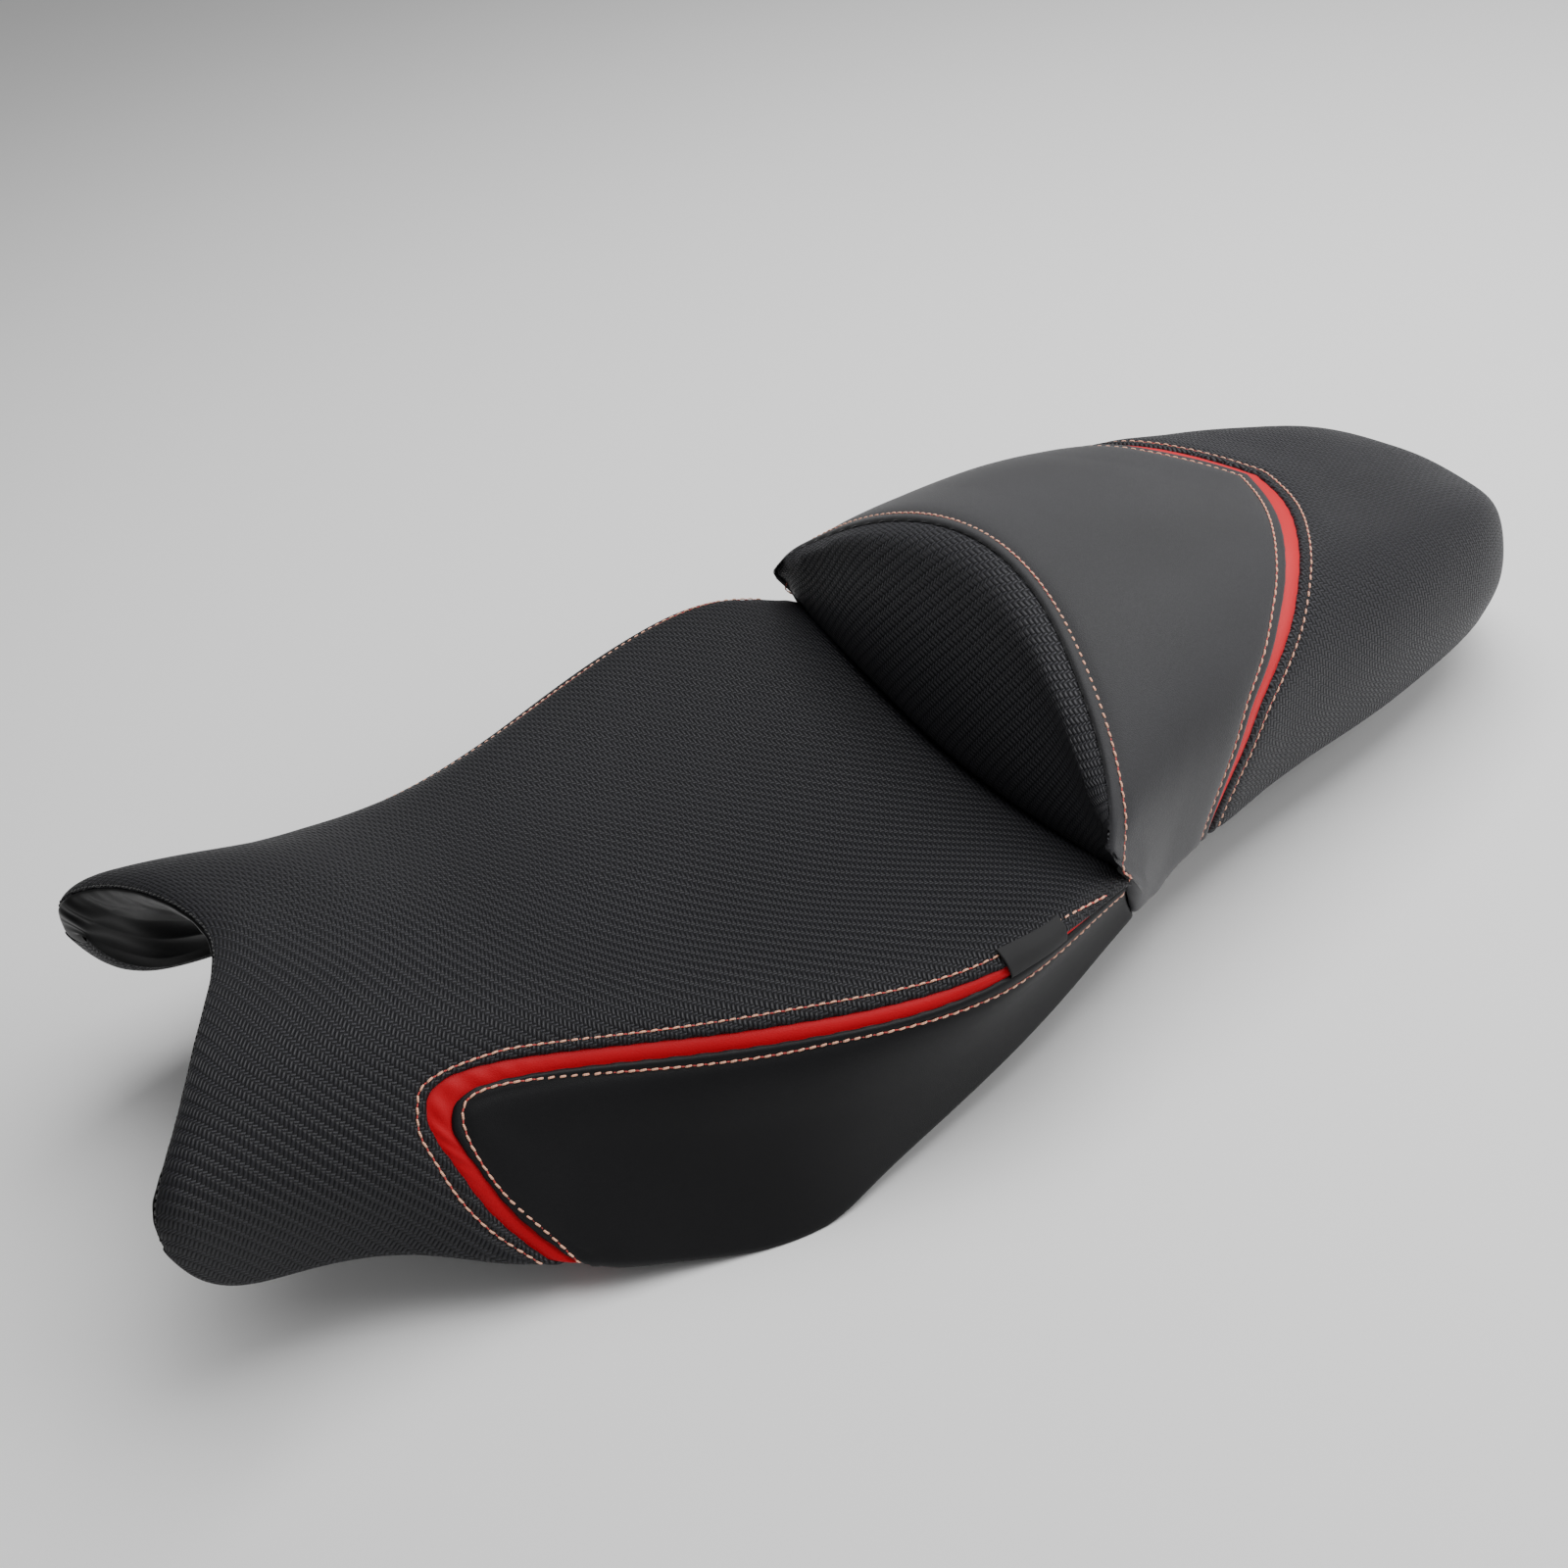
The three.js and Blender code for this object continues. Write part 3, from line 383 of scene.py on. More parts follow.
HEM_ROWS = [-0.13, -0.06, 0, 0.05, 0.1, 0.15, 0.2, 0.26, 0.32, 0.39, 0.46, 0.53, 0.61, 0.7, 0.79, 0.88]
ROWS = [0, 0.2, 0.5, 0.9, 1.5, 2.3, 3.2, 4.2, 5.2, 6.5, 8.3]


class Panel:
    """One panel of the cover: a loop of [station, rail] places, and the seams that shape its height."""

    def __init__(self, cover, loop, seams, rows=()):
        self.cover = cover
        self.loop = loop
        self.seams = [(line, profile, tree_along(cover, line)) for line, profile in seams]
        self.rows = [tree_along(cover, line) for line in rows]

    def moved(self, base, n):
        """Where the cover really lies at these points of the plain surface."""
        h = np.zeros(len(base))
        dive = np.zeros(len(base))
        for _, (d, z), tree in self.seams:
            dist = distances(base, tree)
            if z is CREASE[1]:
                fade = 1 - 0.6 * np.clip((np.abs(base[:, 1]) - 112) / 26, 0, 1)
                dive = dive - np.interp(dist, d, z) * fade
            else:
                h = h + np.interp(dist, d, z)
        for tree in self.rows:
            dist = distances(base, tree)
            h = h - ROW_DEPTH * np.exp(-(dist / 1.0) ** 2)
        if self.cover is pillion:  # the cover is too tight round the ends of the crease to be shaped
            left = base * (1, 0, 1) + np.abs(base) * (0, 1, 0)
            corner = np.linalg.norm(left - CREASE_END, axis=1)
            h = h * np.clip((corner - 3) / 14, 0.2, 1)
        return base + n * np.maximum(h, -3.4)[:, None] + np.array(INTO_CREASE) * dive[:, None]

    def places(self):
        """Places for the mesh: the loop, rows that run beside the seams, and an even field between."""
        cover = self.cover
        polygon = cover.plane(self.loop)
        extra = []
        for line, _, _ in self.seams:
            base = evenly(cover, line, ROW_MM)
            *_, step = across(cover, base)
            for d in ROWS[1:]:
                for way in (1, -1):
                    extra.append((base + way * d * step, np.full(len(base), d)))
        s_values = [-0.02]
        while s_values[-1] < cover.last + 1:
            s = s_values[-1]
            spread = np.linspace(-1, 1, 9) * cover.outer * 0.9
            speed = np.linalg.norm(partials(cover.at, np.full(9, s), spread)[0], axis=1)
            s_values.append(s + STEP_MM / max(np.mean(speed), 12))
        field = []
        for i, s in enumerate(s_values):
            rails = np.linspace(-cover.outer - 1, cover.outer + 1, 161)
            row = np.stack([np.full(161, s), rails], axis=1)
            steps = np.maximum(steps_of(cover.at(*row.T)), np.diff(cover.plane(row)[:, 0]) / 1.4)
            u = run(steps)
            want = np.arange(STEP_MM * (0.5 + 0.5 * (i % 2)), u[-1], STEP_MM)
            r = np.interp(want, u, rails)
            field.append(np.stack([np.full(len(r), s), r], axis=1))
        field = np.concatenate(field)
        past = np.abs(field[:, 1]) > cover.outer - 0.2
        if cover.wraps_tail:
            past |= field[:, 0] > cover.last - 0.2
        field = field[~past]
        hem = np.concatenate([cover.hem_row(e) for e in HEM_ROWS])
        extra.append((hem, np.full(len(hem), 0.4 * ROW_MM)))
        extra.append((field, np.full(len(field), ROWS[-1] + 0.6 * STEP_MM if self.seams else 0)))
        kept = []
        for block, least in extra:
            inside = in_polygon(cover.plane(block), polygon)
            block, least = block[inside], least[inside]
            points = cover.at(*block.T)
            nearest = np.full(len(block), 1e9)
            for _, _, tree in self.seams:
                nearest = np.minimum(nearest, distances(points, tree))
            rim = distances(points, self.rim)
            ok = (nearest >= 0.93 * least) & (rim >= np.minimum(0.9 * least, 0.5 * STEP_MM))
            kept.append(block[ok])
        return np.concatenate(kept), polygon

    def build(self, name, material, noise=0.0):
        cover = self.cover
        self.loop = self.loop[np.concatenate([[True], steps_of(self.loop) > 1e-5])]
        if np.linalg.norm(self.loop[0] - self.loop[-1]) < 1e-5:
            self.loop = self.loop[:-1]
        self.rim = tree_of(cover.at(*self.loop.T))
        inner, polygon = self.places()
        flat = np.concatenate([polygon, cover.plane(inner)])
        places = np.concatenate([self.loop, inner])
        count = len(polygon)
        result = delaunay_2d_cdt([Vector(p) for p in flat], [], [list(range(count))], 1, 1e-5)
        origin = [ids[0] if ids else None for ids in result[3]]
        used = [i for i, o in enumerate(origin) if o is not None]
        index = {i: k for k, i in enumerate(used)}
        keep = np.array([origin[i] for i in used])
        faces = [tuple(index[i] for i in f) for f in result[2] if all(i in index for i in f)]
        s, r = places[keep, 0], places[keep, 1]
        base = cover.at(s, r)
        n = normals(cover.at, s, r)
        points = self.moved(base, n) + n * (noise * ripple(base))[:, None]
        uv = np.stack(look_up(cover.fabric, s, r), axis=1)
        return mesh_object(name, points, faces, material, uv=uv * 0.001, outward=n)


def in_polygon(points, polygon):
    x, y = points[:, 0], points[:, 1]
    inside = np.zeros(len(points), bool)
    for (x1, y1), (x2, y2) in zip(polygon, np.roll(polygon, -1, axis=0)):
        if y1 != y2:
            inside ^= ((y1 > y) != (y2 > y)) & (x < (x2 - x1) * (y - y1) / (y2 - y1) + x1)
    return inside


def ripple(points):
    """Slow unevenness of a hand-stretched cover, from -1 to 1."""
    x, y, z = points.T
    return (np.sin(x / 23 + 1.3 * np.sin(y / 31)) * np.sin(y / 27 + z / 19 + 0.7)
            + 0.5 * np.sin(x / 11 - y / 14 + z / 17)) / 1.5


# -------------------- meshes
def mesh_object(name, points, faces, material, uv=None, outward=None, smooth=True, extra_materials=(), which=None):
    points = np.asarray(points, float)
    if outward is not None and len(faces):
        sample = faces[::max(len(faces) // 200, 1)]
        total = 0.0
        for f in sample:
            a, b, c = points[f[0]], points[f[1]], points[f[2]]
            total += float(np.dot(np.cross(b - a, c - a), outward[f[0]]) > 0) - 0.5
        if total < 0:
            faces = [tuple(reversed(f)) for f in faces]
    mesh = bpy.data.meshes.new(name)
    mesh.from_pydata((points * 0.001).tolist(), [], faces)
    if uv is not None:
        layer = mesh.uv_layers.new(name="UVMap")
        loops = np.zeros(len(mesh.loops), int)
        mesh.loops.foreach_get("vertex_index", loops)
        layer.data.foreach_set("uv", np.asarray(uv)[loops].ravel())
    for m in (material,) + tuple(extra_materials):
        mesh.materials.append(m)
    mesh.polygons.foreach_set("use_smooth", [smooth] * len(mesh.polygons))
    if which is not None:
        mesh.polygons.foreach_set("material_index", which)
    mesh.update()
    obj = bpy.data.objects.new(name, mesh)
    bpy.context.scene.collection.objects.link(obj)
    return obj


def grid_faces(rows, columns, closed=False, start=0):
    faces = []
    for i in range(rows - 1):
        for j in range(columns if closed else columns - 1):
            k = (j + 1) % columns
            faces.append((start + i * columns + j, start + i * columns + k,
                          start + (i + 1) * columns + k, start + (i + 1) * columns + j))
    return faces


def adopt(obj, slot, *nodes, padded=None):
    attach(obj, "root")
    if nodes:
        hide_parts(*nodes)
    return obj


# -------------------- materials
def new_material(name, color, roughness, metallic=0.0):
    m = bpy.data.materials.new(name)
    m.use_nodes = True
    shader = m.node_tree.nodes["Principled BSDF"]
    shader.inputs["Base Color"].default_value = (*color, 1)
    shader.inputs["Roughness"].default_value = roughness
    shader.inputs["Metallic"].default_value = metallic
    m.diffuse_color = (*color, 1)
    return m


def shades(base, vary):
    """A darker and a lighter shade of a colour."""
    return [(*[min(c * k, 1) for c in base], 1) for k in (1 - vary, 1 + vary)]


class Nodes:
    """Short hand for wiring a material's nodes."""

    def __init__(self, material):
        self.tree = material.node_tree
        self.shader = self.tree.nodes["Principled BSDF"]

    def add(self, kind, inputs=None, **settings):
        node = self.tree.nodes.new(kind)
        for key, value in settings.items():
            setattr(node, key, value)
        for key, value in (inputs or {}).items():
            self.feed(node.inputs[key], value)
        return node

    def feed(self, socket, value):
        if isinstance(value, bpy.types.NodeSocket):
            self.tree.links.new(value, socket)
        else:
            socket.default_value = value

    def math(self, operation, a, b=0.0, c=0.0):
        node = self.add("ShaderNodeMath", operation=operation)
        for socket, value in zip(node.inputs, (a, b, c)):
            self.feed(socket, value)
        return node.outputs[0]

    def noise(self, vector, scale, detail=3.0, roughness=0.55):
        return self.add("ShaderNodeTexNoise", {"Vector": vector, "Scale": scale, "Detail": detail,
                                               "Roughness": roughness}).outputs["Fac"]

    def ramp(self, value, low, high, to_low=0.0, to_high=1.0):
        return self.add("ShaderNodeMapRange", {"Value": value, "From Min": low, "From Max": high,
                                               "To Min": to_low, "To Max": to_high}).outputs["Result"]

    def mix(self, factor, a, b):
        node = self.add("ShaderNodeMix", data_type="RGBA")
        self.feed(node.inputs["Factor"], factor)
        self.feed(node.inputs["A"], a)
        self.feed(node.inputs["B"], b)
        return node.outputs["Result"]

    def bump(self, height, strength, distance, normal=None):
        node = self.add("ShaderNodeBump", {"Height": height, "Strength": strength, "Distance": distance})
        if normal is not None:
            self.tree.links.new(normal, node.inputs["Normal"])
        return node.outputs["Normal"]

    def place(self):
        return self.add("ShaderNodeTexCoord").outputs["Object"]

    def cloth(self):
        return self.add("ShaderNodeUVMap", uv_map="UVMap").outputs["UV"]


YARNS, WALES = (60.0, 546.0), (-162.0, 157.0)  # repeats a metre across and along the seat
YARN_SHIFT = -0.252  # how far each yarn's floats start past those of the yarn before


def twill_vinyl(name, base, painted_lit_color, depth=0.0006):
    """Black vinyl embossed like a 3/1 twill: long floats across the seat, stepped into diagonal wales."""
    m = new_material(name, base, 0.5)
    n = Nodes(m)
    parts = n.add("ShaderNodeSeparateXYZ", {"Vector": n.cloth()})
    wobble = n.math("MULTIPLY_ADD", n.noise(n.place(), 60.0, 1.0), 0.0012, -0.0006)
    u = n.math("ADD", parts.outputs["X"], wobble)
    v = n.math("ADD", parts.outputs["Y"], wobble)
    yarns = n.math("MULTIPLY_ADD", v, YARNS[1], n.math("MULTIPLY", u, YARNS[0]))
    across_yarn = n.math("FRACT", yarns)
    wales = n.math("MULTIPLY_ADD", v, WALES[1], n.math("MULTIPLY", u, WALES[0]))
    along = n.math("FRACT", n.math("MULTIPLY_ADD", n.math("SUBTRACT", across_yarn, 0.5), YARN_SHIFT, wales))
    side = n.math("ABSOLUTE", n.math("MULTIPLY_ADD", across_yarn, 2.0, -1.0))
    hump = n.math("SUBTRACT", 1.0, n.math("POWER", side, 2.2))
    reach = 0.76  # share of the repeat that a float covers
    end = n.math("ABSOLUTE", n.math("MULTIPLY_ADD", along, 2.0 / reach, -1.0))
    body = n.math("MAXIMUM", n.math("SUBTRACT", 1.0, n.math("POWER", end, 3.6)), 0.0)
    long_float = n.math("MULTIPLY", n.math("MULTIPLY", hump, body), n.math("LESS_THAN", along, reach))
    dot = n.math("ABSOLUTE", n.math("MULTIPLY_ADD", n.math("SUBTRACT", along, reach), 2.0 / (1 - reach), -1.0))
    round_dot = n.math("SUBTRACT", 1.0, n.math("MULTIPLY", dot, dot))
    knot = n.math("MULTIPLY", round_dot, n.math("GREATER_THAN", along, reach))
    height = n.math("ADD", long_float, n.math("MULTIPLY", knot, n.math("MULTIPLY_ADD", side, -0.25, 0.8)))
    grain = n.noise(n.place(), 2600.0, 2.0)
    micro = n.math("MULTIPLY_ADD", grain, 0.1, height)
    wear = n.noise(n.place(), 14.0, 4.0)
    # Painted shade and highlight: darker down in the grooves between floats, lighter on the float tops and most of
    # all on the knots, times a slow random mottle.
    tone = n.math("MULTIPLY", n.ramp(height, 0.0, 0.9), n.ramp(wear, 0.3, 0.75, 0.85, 1.1))
    tone = n.math("MULTIPLY_ADD", knot, 0.55, n.math("MULTIPLY", tone, 0.6))
    n.feed(n.shader.inputs["Base Color"], n.mix(tone, (*[c * 0.25 for c in base], 1), (*painted_lit_color, 1)))
    n.feed(n.shader.inputs["Roughness"], n.math("MULTIPLY_ADD", grain, 0.14, n.ramp(height, 0, 1, 0.56, 0.4)))
    n.feed(n.shader.inputs["Normal"], n.bump(micro, 1.0, depth))
    n.shader.inputs["Specular IOR Level"].default_value = 0.35
    return m


def grained_vinyl(name, base, roughness, cell=1500.0, depth=0.00006, speckle=0.0, sheen=0.0, vary=0.25,
                  shine=0.5):
    """Plain vinyl with a fine leather grain."""
    m = new_material(name, base, roughness)
    n = Nodes(m)
    place = n.place()
    cells = n.add("ShaderNodeTexVoronoi", {"Vector": place, "Scale": cell}, feature="DISTANCE_TO_EDGE")
    edge = n.ramp(cells.outputs["Distance"], 0.0, 0.22)
    fine = n.noise(place, 4200.0, 2.0)
    slow = n.noise(place, 9.0, 4.0)
    height = n.math("ADD", n.math("MULTIPLY", edge, 0.8), n.math("MULTIPLY", fine, 0.5))
    factor = n.ramp(slow, 0.3, 0.7)
    if speckle:
        dots = n.ramp(n.noise(place, 900.0, 2.0, 0.7), 0.42, 0.62)
        factor = n.math("MULTIPLY_ADD", n.math("SUBTRACT", dots, 0.5), speckle, factor)
    n.feed(n.shader.inputs["Base Color"], n.mix(factor, *shades(base, vary)))
    n.feed(n.shader.inputs["Roughness"], n.math("MULTIPLY_ADD", fine, 0.18, roughness - 0.08))
    n.feed(n.shader.inputs["Normal"], n.bump(height, 0.7, depth))
    n.shader.inputs["Specular IOR Level"].default_value = shine
    if sheen:
        n.shader.inputs["Sheen Weight"].default_value = sheen
        n.shader.inputs["Sheen Roughness"].default_value = 0.45
    return m


def plain_textured(name, base, roughness, scale=700.0, depth=0.00008, metallic=0.0, vary=0.2, spots=0.0):
    m = new_material(name, base, roughness, metallic)
    n = Nodes(m)
    place = n.place()
    fine = n.noise(place, scale, 3.0)
    slow = n.noise(place, 22.0, 4.0)
    factor = n.ramp(slow, 0.3, 0.7)
    if spots:
        factor = n.math("SUBTRACT", factor, n.math("MULTIPLY", n.ramp(n.noise(place, 160.0, 5.0), 0.55, 0.7), spots))
    n.feed(n.shader.inputs["Base Color"], n.mix(factor, *shades(base, vary)))
    n.feed(n.shader.inputs["Roughness"], n.math("MULTIPLY_ADD", fine, 0.2, roughness - 0.1))
    n.feed(n.shader.inputs["Normal"], n.bump(fine, 0.5, depth))
    return m


def thread_material(name, base, light):
    """Twisted sewing thread, with its ply spiralling round each stitch and a painted highlight along each ply."""
    m = new_material(name, base, 0.45)
    n = Nodes(m)
    parts = n.add("ShaderNodeSeparateXYZ", {"Vector": n.cloth()})
    ply = n.math("SINE", n.math("ADD", n.math("MULTIPLY", parts.outputs["X"], 9500.0),
                                n.math("MULTIPLY", parts.outputs["Y"], 6.2832)))
    # Painted highlight: each ply stripe runs from the thread's colour to a lighter one, as if lit.
    tone = n.ramp(ply, -1.0, 1.0)
    n.feed(n.shader.inputs["Base Color"], n.mix(tone, (*base, 1), (*light, 1)))
    n.feed(n.shader.inputs["Normal"], n.bump(tone, 0.7, 0.00012))
    n.shader.inputs["Sheen Weight"].default_value = 0.3
    return m


def tape_material(name, base):
    m = new_material(name, base, 0.75)
    n = Nodes(m)
    parts = n.add("ShaderNodeSeparateXYZ", {"Vector": n.cloth()})
    warp = n.math("SINE", n.math("MULTIPLY", parts.outputs["X"], 12000.0))
    weft = n.math("SINE", n.math("MULTIPLY", parts.outputs["Y"], 16000.0))
    height = n.math("MULTIPLY", warp, weft)
    dark, light = shades(base, 0.5)[0], shades(base, 0.6)[1]
    n.feed(n.shader.inputs["Base Color"], n.mix(n.ramp(height, -1, 1), dark, light))
    n.feed(n.shader.inputs["Normal"], n.bump(height, 0.6, 0.0001))
    return m


TWILL = twill_vinyl("twill_vinyl", (0.008, 0.008, 0.0102), (0.02, 0.02, 0.0255))
# Painted light: the twill for the step and tail is the same twill about twice as light, standing in for the brighter
# light at the rear.
TWILL_LIT_REAR = twill_vinyl("twill_vinyl_lit_rear", (0.016, 0.016, 0.0195), (0.043, 0.043, 0.051))
SMOOTH = grained_vinyl("smooth_vinyl", (0.0042, 0.0042, 0.0052), 0.5, shine=0.27)
SUEDE = grained_vinyl("suede_vinyl", (0.0152, 0.0152, 0.0182), 0.64, cell=1100.0, depth=0.00009, speckle=0.5,
                      sheen=0.25)
RED = grained_vinyl("red_vinyl", (0.46, 0.0, 0.008), 0.48, shine=0.2, cell=1300.0, vary=0.12)
# Painted light: the red for the pillion accent is the same red vinyl made lighter, standing in for the brighter
# light on the pillion top.
RED_LIT_REAR = grained_vinyl("red_vinyl_lit_rear", (0.66, 0.02, 0.03), 0.45, shine=0.3, cell=1300.0, vary=0.1)
LINING = grained_vinyl("lining_vinyl", (0.0018, 0.0018, 0.0022), 0.3, cell=900.0, depth=0.00002, shine=0.14)
THREAD = thread_material("thread_salmon", (0.78, 0.25, 0.13), (0.95, 0.62, 0.44))
# Dark red thread for the painted shade between the stitches.
THREAD_SHADE_RED = thread_material("thread_shade_red", (0.5, 0.02, 0.02), (0.72, 0.08, 0.06))
THREAD_BLACK = thread_material("thread_black", (0.006, 0.006, 0.006), (0.02, 0.02, 0.02))
TAPE = tape_material("woven_tape", (0.012, 0.012, 0.013))
PLASTIC = plain_textured("pan_plastic", (0.016, 0.016, 0.018), 0.5)
RUBBER = plain_textured("rubber", (0.012, 0.012, 0.012), 0.75, scale=500.0)
ZINC = plain_textured("zinc_steel", (0.62, 0.62, 0.60), 0.34, scale=260.0, depth=0.00003, metallic=1.0, vary=0.12,
                      spots=0.3)


# -------------------- seams
def past_edge(points, stretch):
    """A seam line that also runs round the lower edge, at the start of its list."""
    (s0, r0), (s1, r1) = points[0], points[1]
    slope = (s0 - s1) / (r0 - r1)
    start = [(s0 + slope * 0.5 * stretch, r0 + stretch), (s0 + slope * 0.22, r0 + 0.3)]
    return start + list(points)


outer_left = curve(past_edge(ACCENT_OUTER, HEM))
inner_left = curve(past_edge(ACCENT_INNER, HEM))
strip_front_half = curve(PILLION_STRIP_FRONT + [(4.15, 5.94)], 500)
strip_rear_half = curve(PILLION_STRIP_REAR + [(4.19, 5.94)], 500)
step_half = curve(STEP_SEAM, 500)


def both(half):
    """A full line from a half that starts on the centre line: from the right, over, to the left."""
    return np.concatenate([mirrored(half), half[1:]])


strip_front = both(strip_front_half)
strip_rear = both(strip_rear_half)
step_seam = both(step_half)


def sew(name, cover, outline, seams, rows, material, noise, slot, *nodes):
    """Make one panel of the cover from the pieces of its outline."""
    loop = np.concatenate([evenly(cover, piece, ROW_MM, dense=True)[:-1] for piece in outline])
    panel = Panel(cover, loop, seams, rows)
    adopt(panel.build(name, material, noise), slot, *nodes, padded=0.95)
    return panel


nose_line = straight((NOSE_SEAM, -4), (NOSE_SEAM, 4), 400)
crease_top = straight((9, -2.58), (9, 2.58), 300)
upper_left = curve([(3.95, 4.28)] + UPPER_ROW)
lower_left = curve([(4.12, 4.28)] + LOWER_ROW)

panels = {}
panels["rider_top"] = sew(
    "cover_rider_top", rider,
    [outer_left, straight((9, 2.58), (9, -2.58), 260), mirrored(outer_left),
     straight(mirrored(outer_left)[-1], (NOSE_SEAM, -4 - HEM), 200),
     straight((NOSE_SEAM, -4 - HEM), (NOSE_SEAM, -4), 20), nose_line,
     straight((NOSE_SEAM, 4), (NOSE_SEAM, 4 + HEM), 20),
     straight((NOSE_SEAM, 4 + HEM), outer_left[0], 200)],
    [(outer_left, FOLD), (mirrored(outer_left), FOLD), (nose_line, NOSE), (crease_top, CREASE)],
    [upper_left, mirrored(upper_left)],
    TWILL, 0.25, "twill_vinyl", "rider_top_panel", "rider_foam")

side_outline = [inner_left, straight((9, 2.61), (9, 4 + HEM), 80), straight((9, 4 + HEM), inner_left[0], 200)]
end_line = straight((9, 2.61), (9, 4.3), 80)
panels["side_left"] = sew(
    "cover_side_left", rider, side_outline, [(inner_left, FOLD), (end_line, BUTT)], [lower_left],
    SMOOTH, 0.3, "smooth_vinyl", "side_panel_left")
panels["side_right"] = sew(
    "cover_side_right", rider, [mirrored(piece) for piece in side_outline][::-1],
    [(mirrored(inner_left), FOLD), (mirrored(end_line), BUTT)], [mirrored(lower_left)],
    SMOOTH, 0.3, "smooth_vinyl", "side_panel_right")

# The step's edge lies just under the front panel's fold.
step_under = np.array([(s + 0.03 if abs(r) < 3.9 else s, r * 1.004) for s, r in step_seam])
panels["step"] = sew(
    "cover_step", pillion, [step_under[::-1], straight((0, -4.016), (0, 4.016), 300)],
    [(step_under, UNDER), (straight((0, -4), (0, 4), 300), CREASE)], [],
    TWILL_LIT_REAR, 0.2, "twill_vinyl", "step_panel", "pillion_foam")


def beside(cover, line, gap, target):
    """The row that runs beside a seam, on the side of a target station, as far as the hem."""
    places = evenly(cover, line, 3.0)
    *_, step_by = across(cover, places)
    middle = len(places) // 2
    row = min((places + gap * step_by, places - gap * step_by), key=lambda side: abs(side[middle, 0] - target))
    return row[np.abs(row[:, 1]) < cover.outer + 0.12]


step_row = both(curve(STEP_ROW, 500))
front_row = beside(pillion, strip_front, 5.0, 4.0)
rear_row = beside(pillion, strip_rear, 5.0, 8.0)
panels["front"] = sew(
    "cover_pillion_front", pillion,
    [step_seam, straight((0, 4), (0, 5 + HEM), 80), straight((0, 5 + HEM), strip_front_half[-1], 150),
     strip_front[::-1], straight(strip_front[0], (0, -5 - HEM), 150), straight((0, -5 - HEM), (0, -4), 80)],
    [(step_seam, FOLD), (strip_front, FOLD), (straight((0, 4), (0, 5.3), 80), BUTT),
     (straight((0, -5.3), (0, -4), 80), BUTT)],
    [step_row, front_row], SUEDE, 0.3, "suede_vinyl", "pillion_front_panel")

angles = np.linspace(0, math.pi / 2, 40)
corner = np.stack([10 + HEM * np.sin(angles), 5 + HEM * np.cos(angles)], axis=1)
panels["tail"] = sew(
    "cover_tail", pillion,
    [strip_rear, straight(strip_rear_half[-1], corner[0], 200), corner, straight(corner[-1], (10 + HEM, -5), 120),
     mirrored(corner), straight((10, -5 - HEM), strip_rear[0], 200)],
    [(strip_rear, FOLD)], [rear_row], TWILL_LIT_REAR, 0.3, "twill_vinyl", "tail_panel")


# -------------------- recessed accents
def accent_strip(name, cover, edge_a, edge_b, material, wrinkle_at=None, depth=1.25):
    """A strip between two folded edges, lying lower than both and tucked under them."""
    count = 420
    a, b = [evenly(cover, edge, count=count) for edge in (edge_a, edge_b)]
    a = evenly(cover, a, count=count)  # takes out what the first pass leaves uneven where the edge bends
    t = np.linspace(-0.22, 1.22, 15)
    places = a[:, None, :] * (1 - t)[None, :, None] + b[:, None, :] * t[None, :, None]
    s, r = places[..., 0], places[..., 1]
    base = cover.at(s, r)
    n = normals(cover.at, s, r)
    crown = 1 - (2 * np.clip(t, 0, 1) - 1) ** 2
    h = np.broadcast_to(-depth + 0.45 * crown, s.shape).copy()
    if wrinkle_at is not None:
        d = np.linalg.norm(base - np.array(wrinkle_at), axis=2)
        fold = np.exp(-(d / 26) ** 2)
        h += 0.32 * fold * np.sin(np.arange(count)[:, None] / count * 260 + 3 * t[None, :]) * crown
    h += 0.08 * ripple(base.reshape(-1, 3) * 3).reshape(s.shape)
    points = base + n * h[..., None]
    length = np.arange(count)[:, None] * 0.001
    uv = np.stack([np.broadcast_to(length, s.shape), np.broadcast_to(t * 0.006, s.shape)], axis=-1)
    return mesh_object(name, points.reshape(-1, 3), grid_faces(count, len(t)), material,
                       uv=uv.reshape(-1, 2), outward=n.reshape(-1, 3))


SIDES = ("left", np.array), ("right", mirrored)
for name, turn in SIDES:
    bend = rider.at(*turn(np.array([(3.25, 2.42)])).T)[0]
    strip = accent_strip("accent_" + name, rider, turn(outer_left), turn(inner_left), RED, wrinkle_at=bend)
    adopt(strip, "red_vinyl", "side_accent_" + name)
strip = accent_strip("accent_pillion", pillion, strip_front, strip_rear, RED_LIT_REAR)
adopt(strip, "red_vinyl", "pillion_accent")


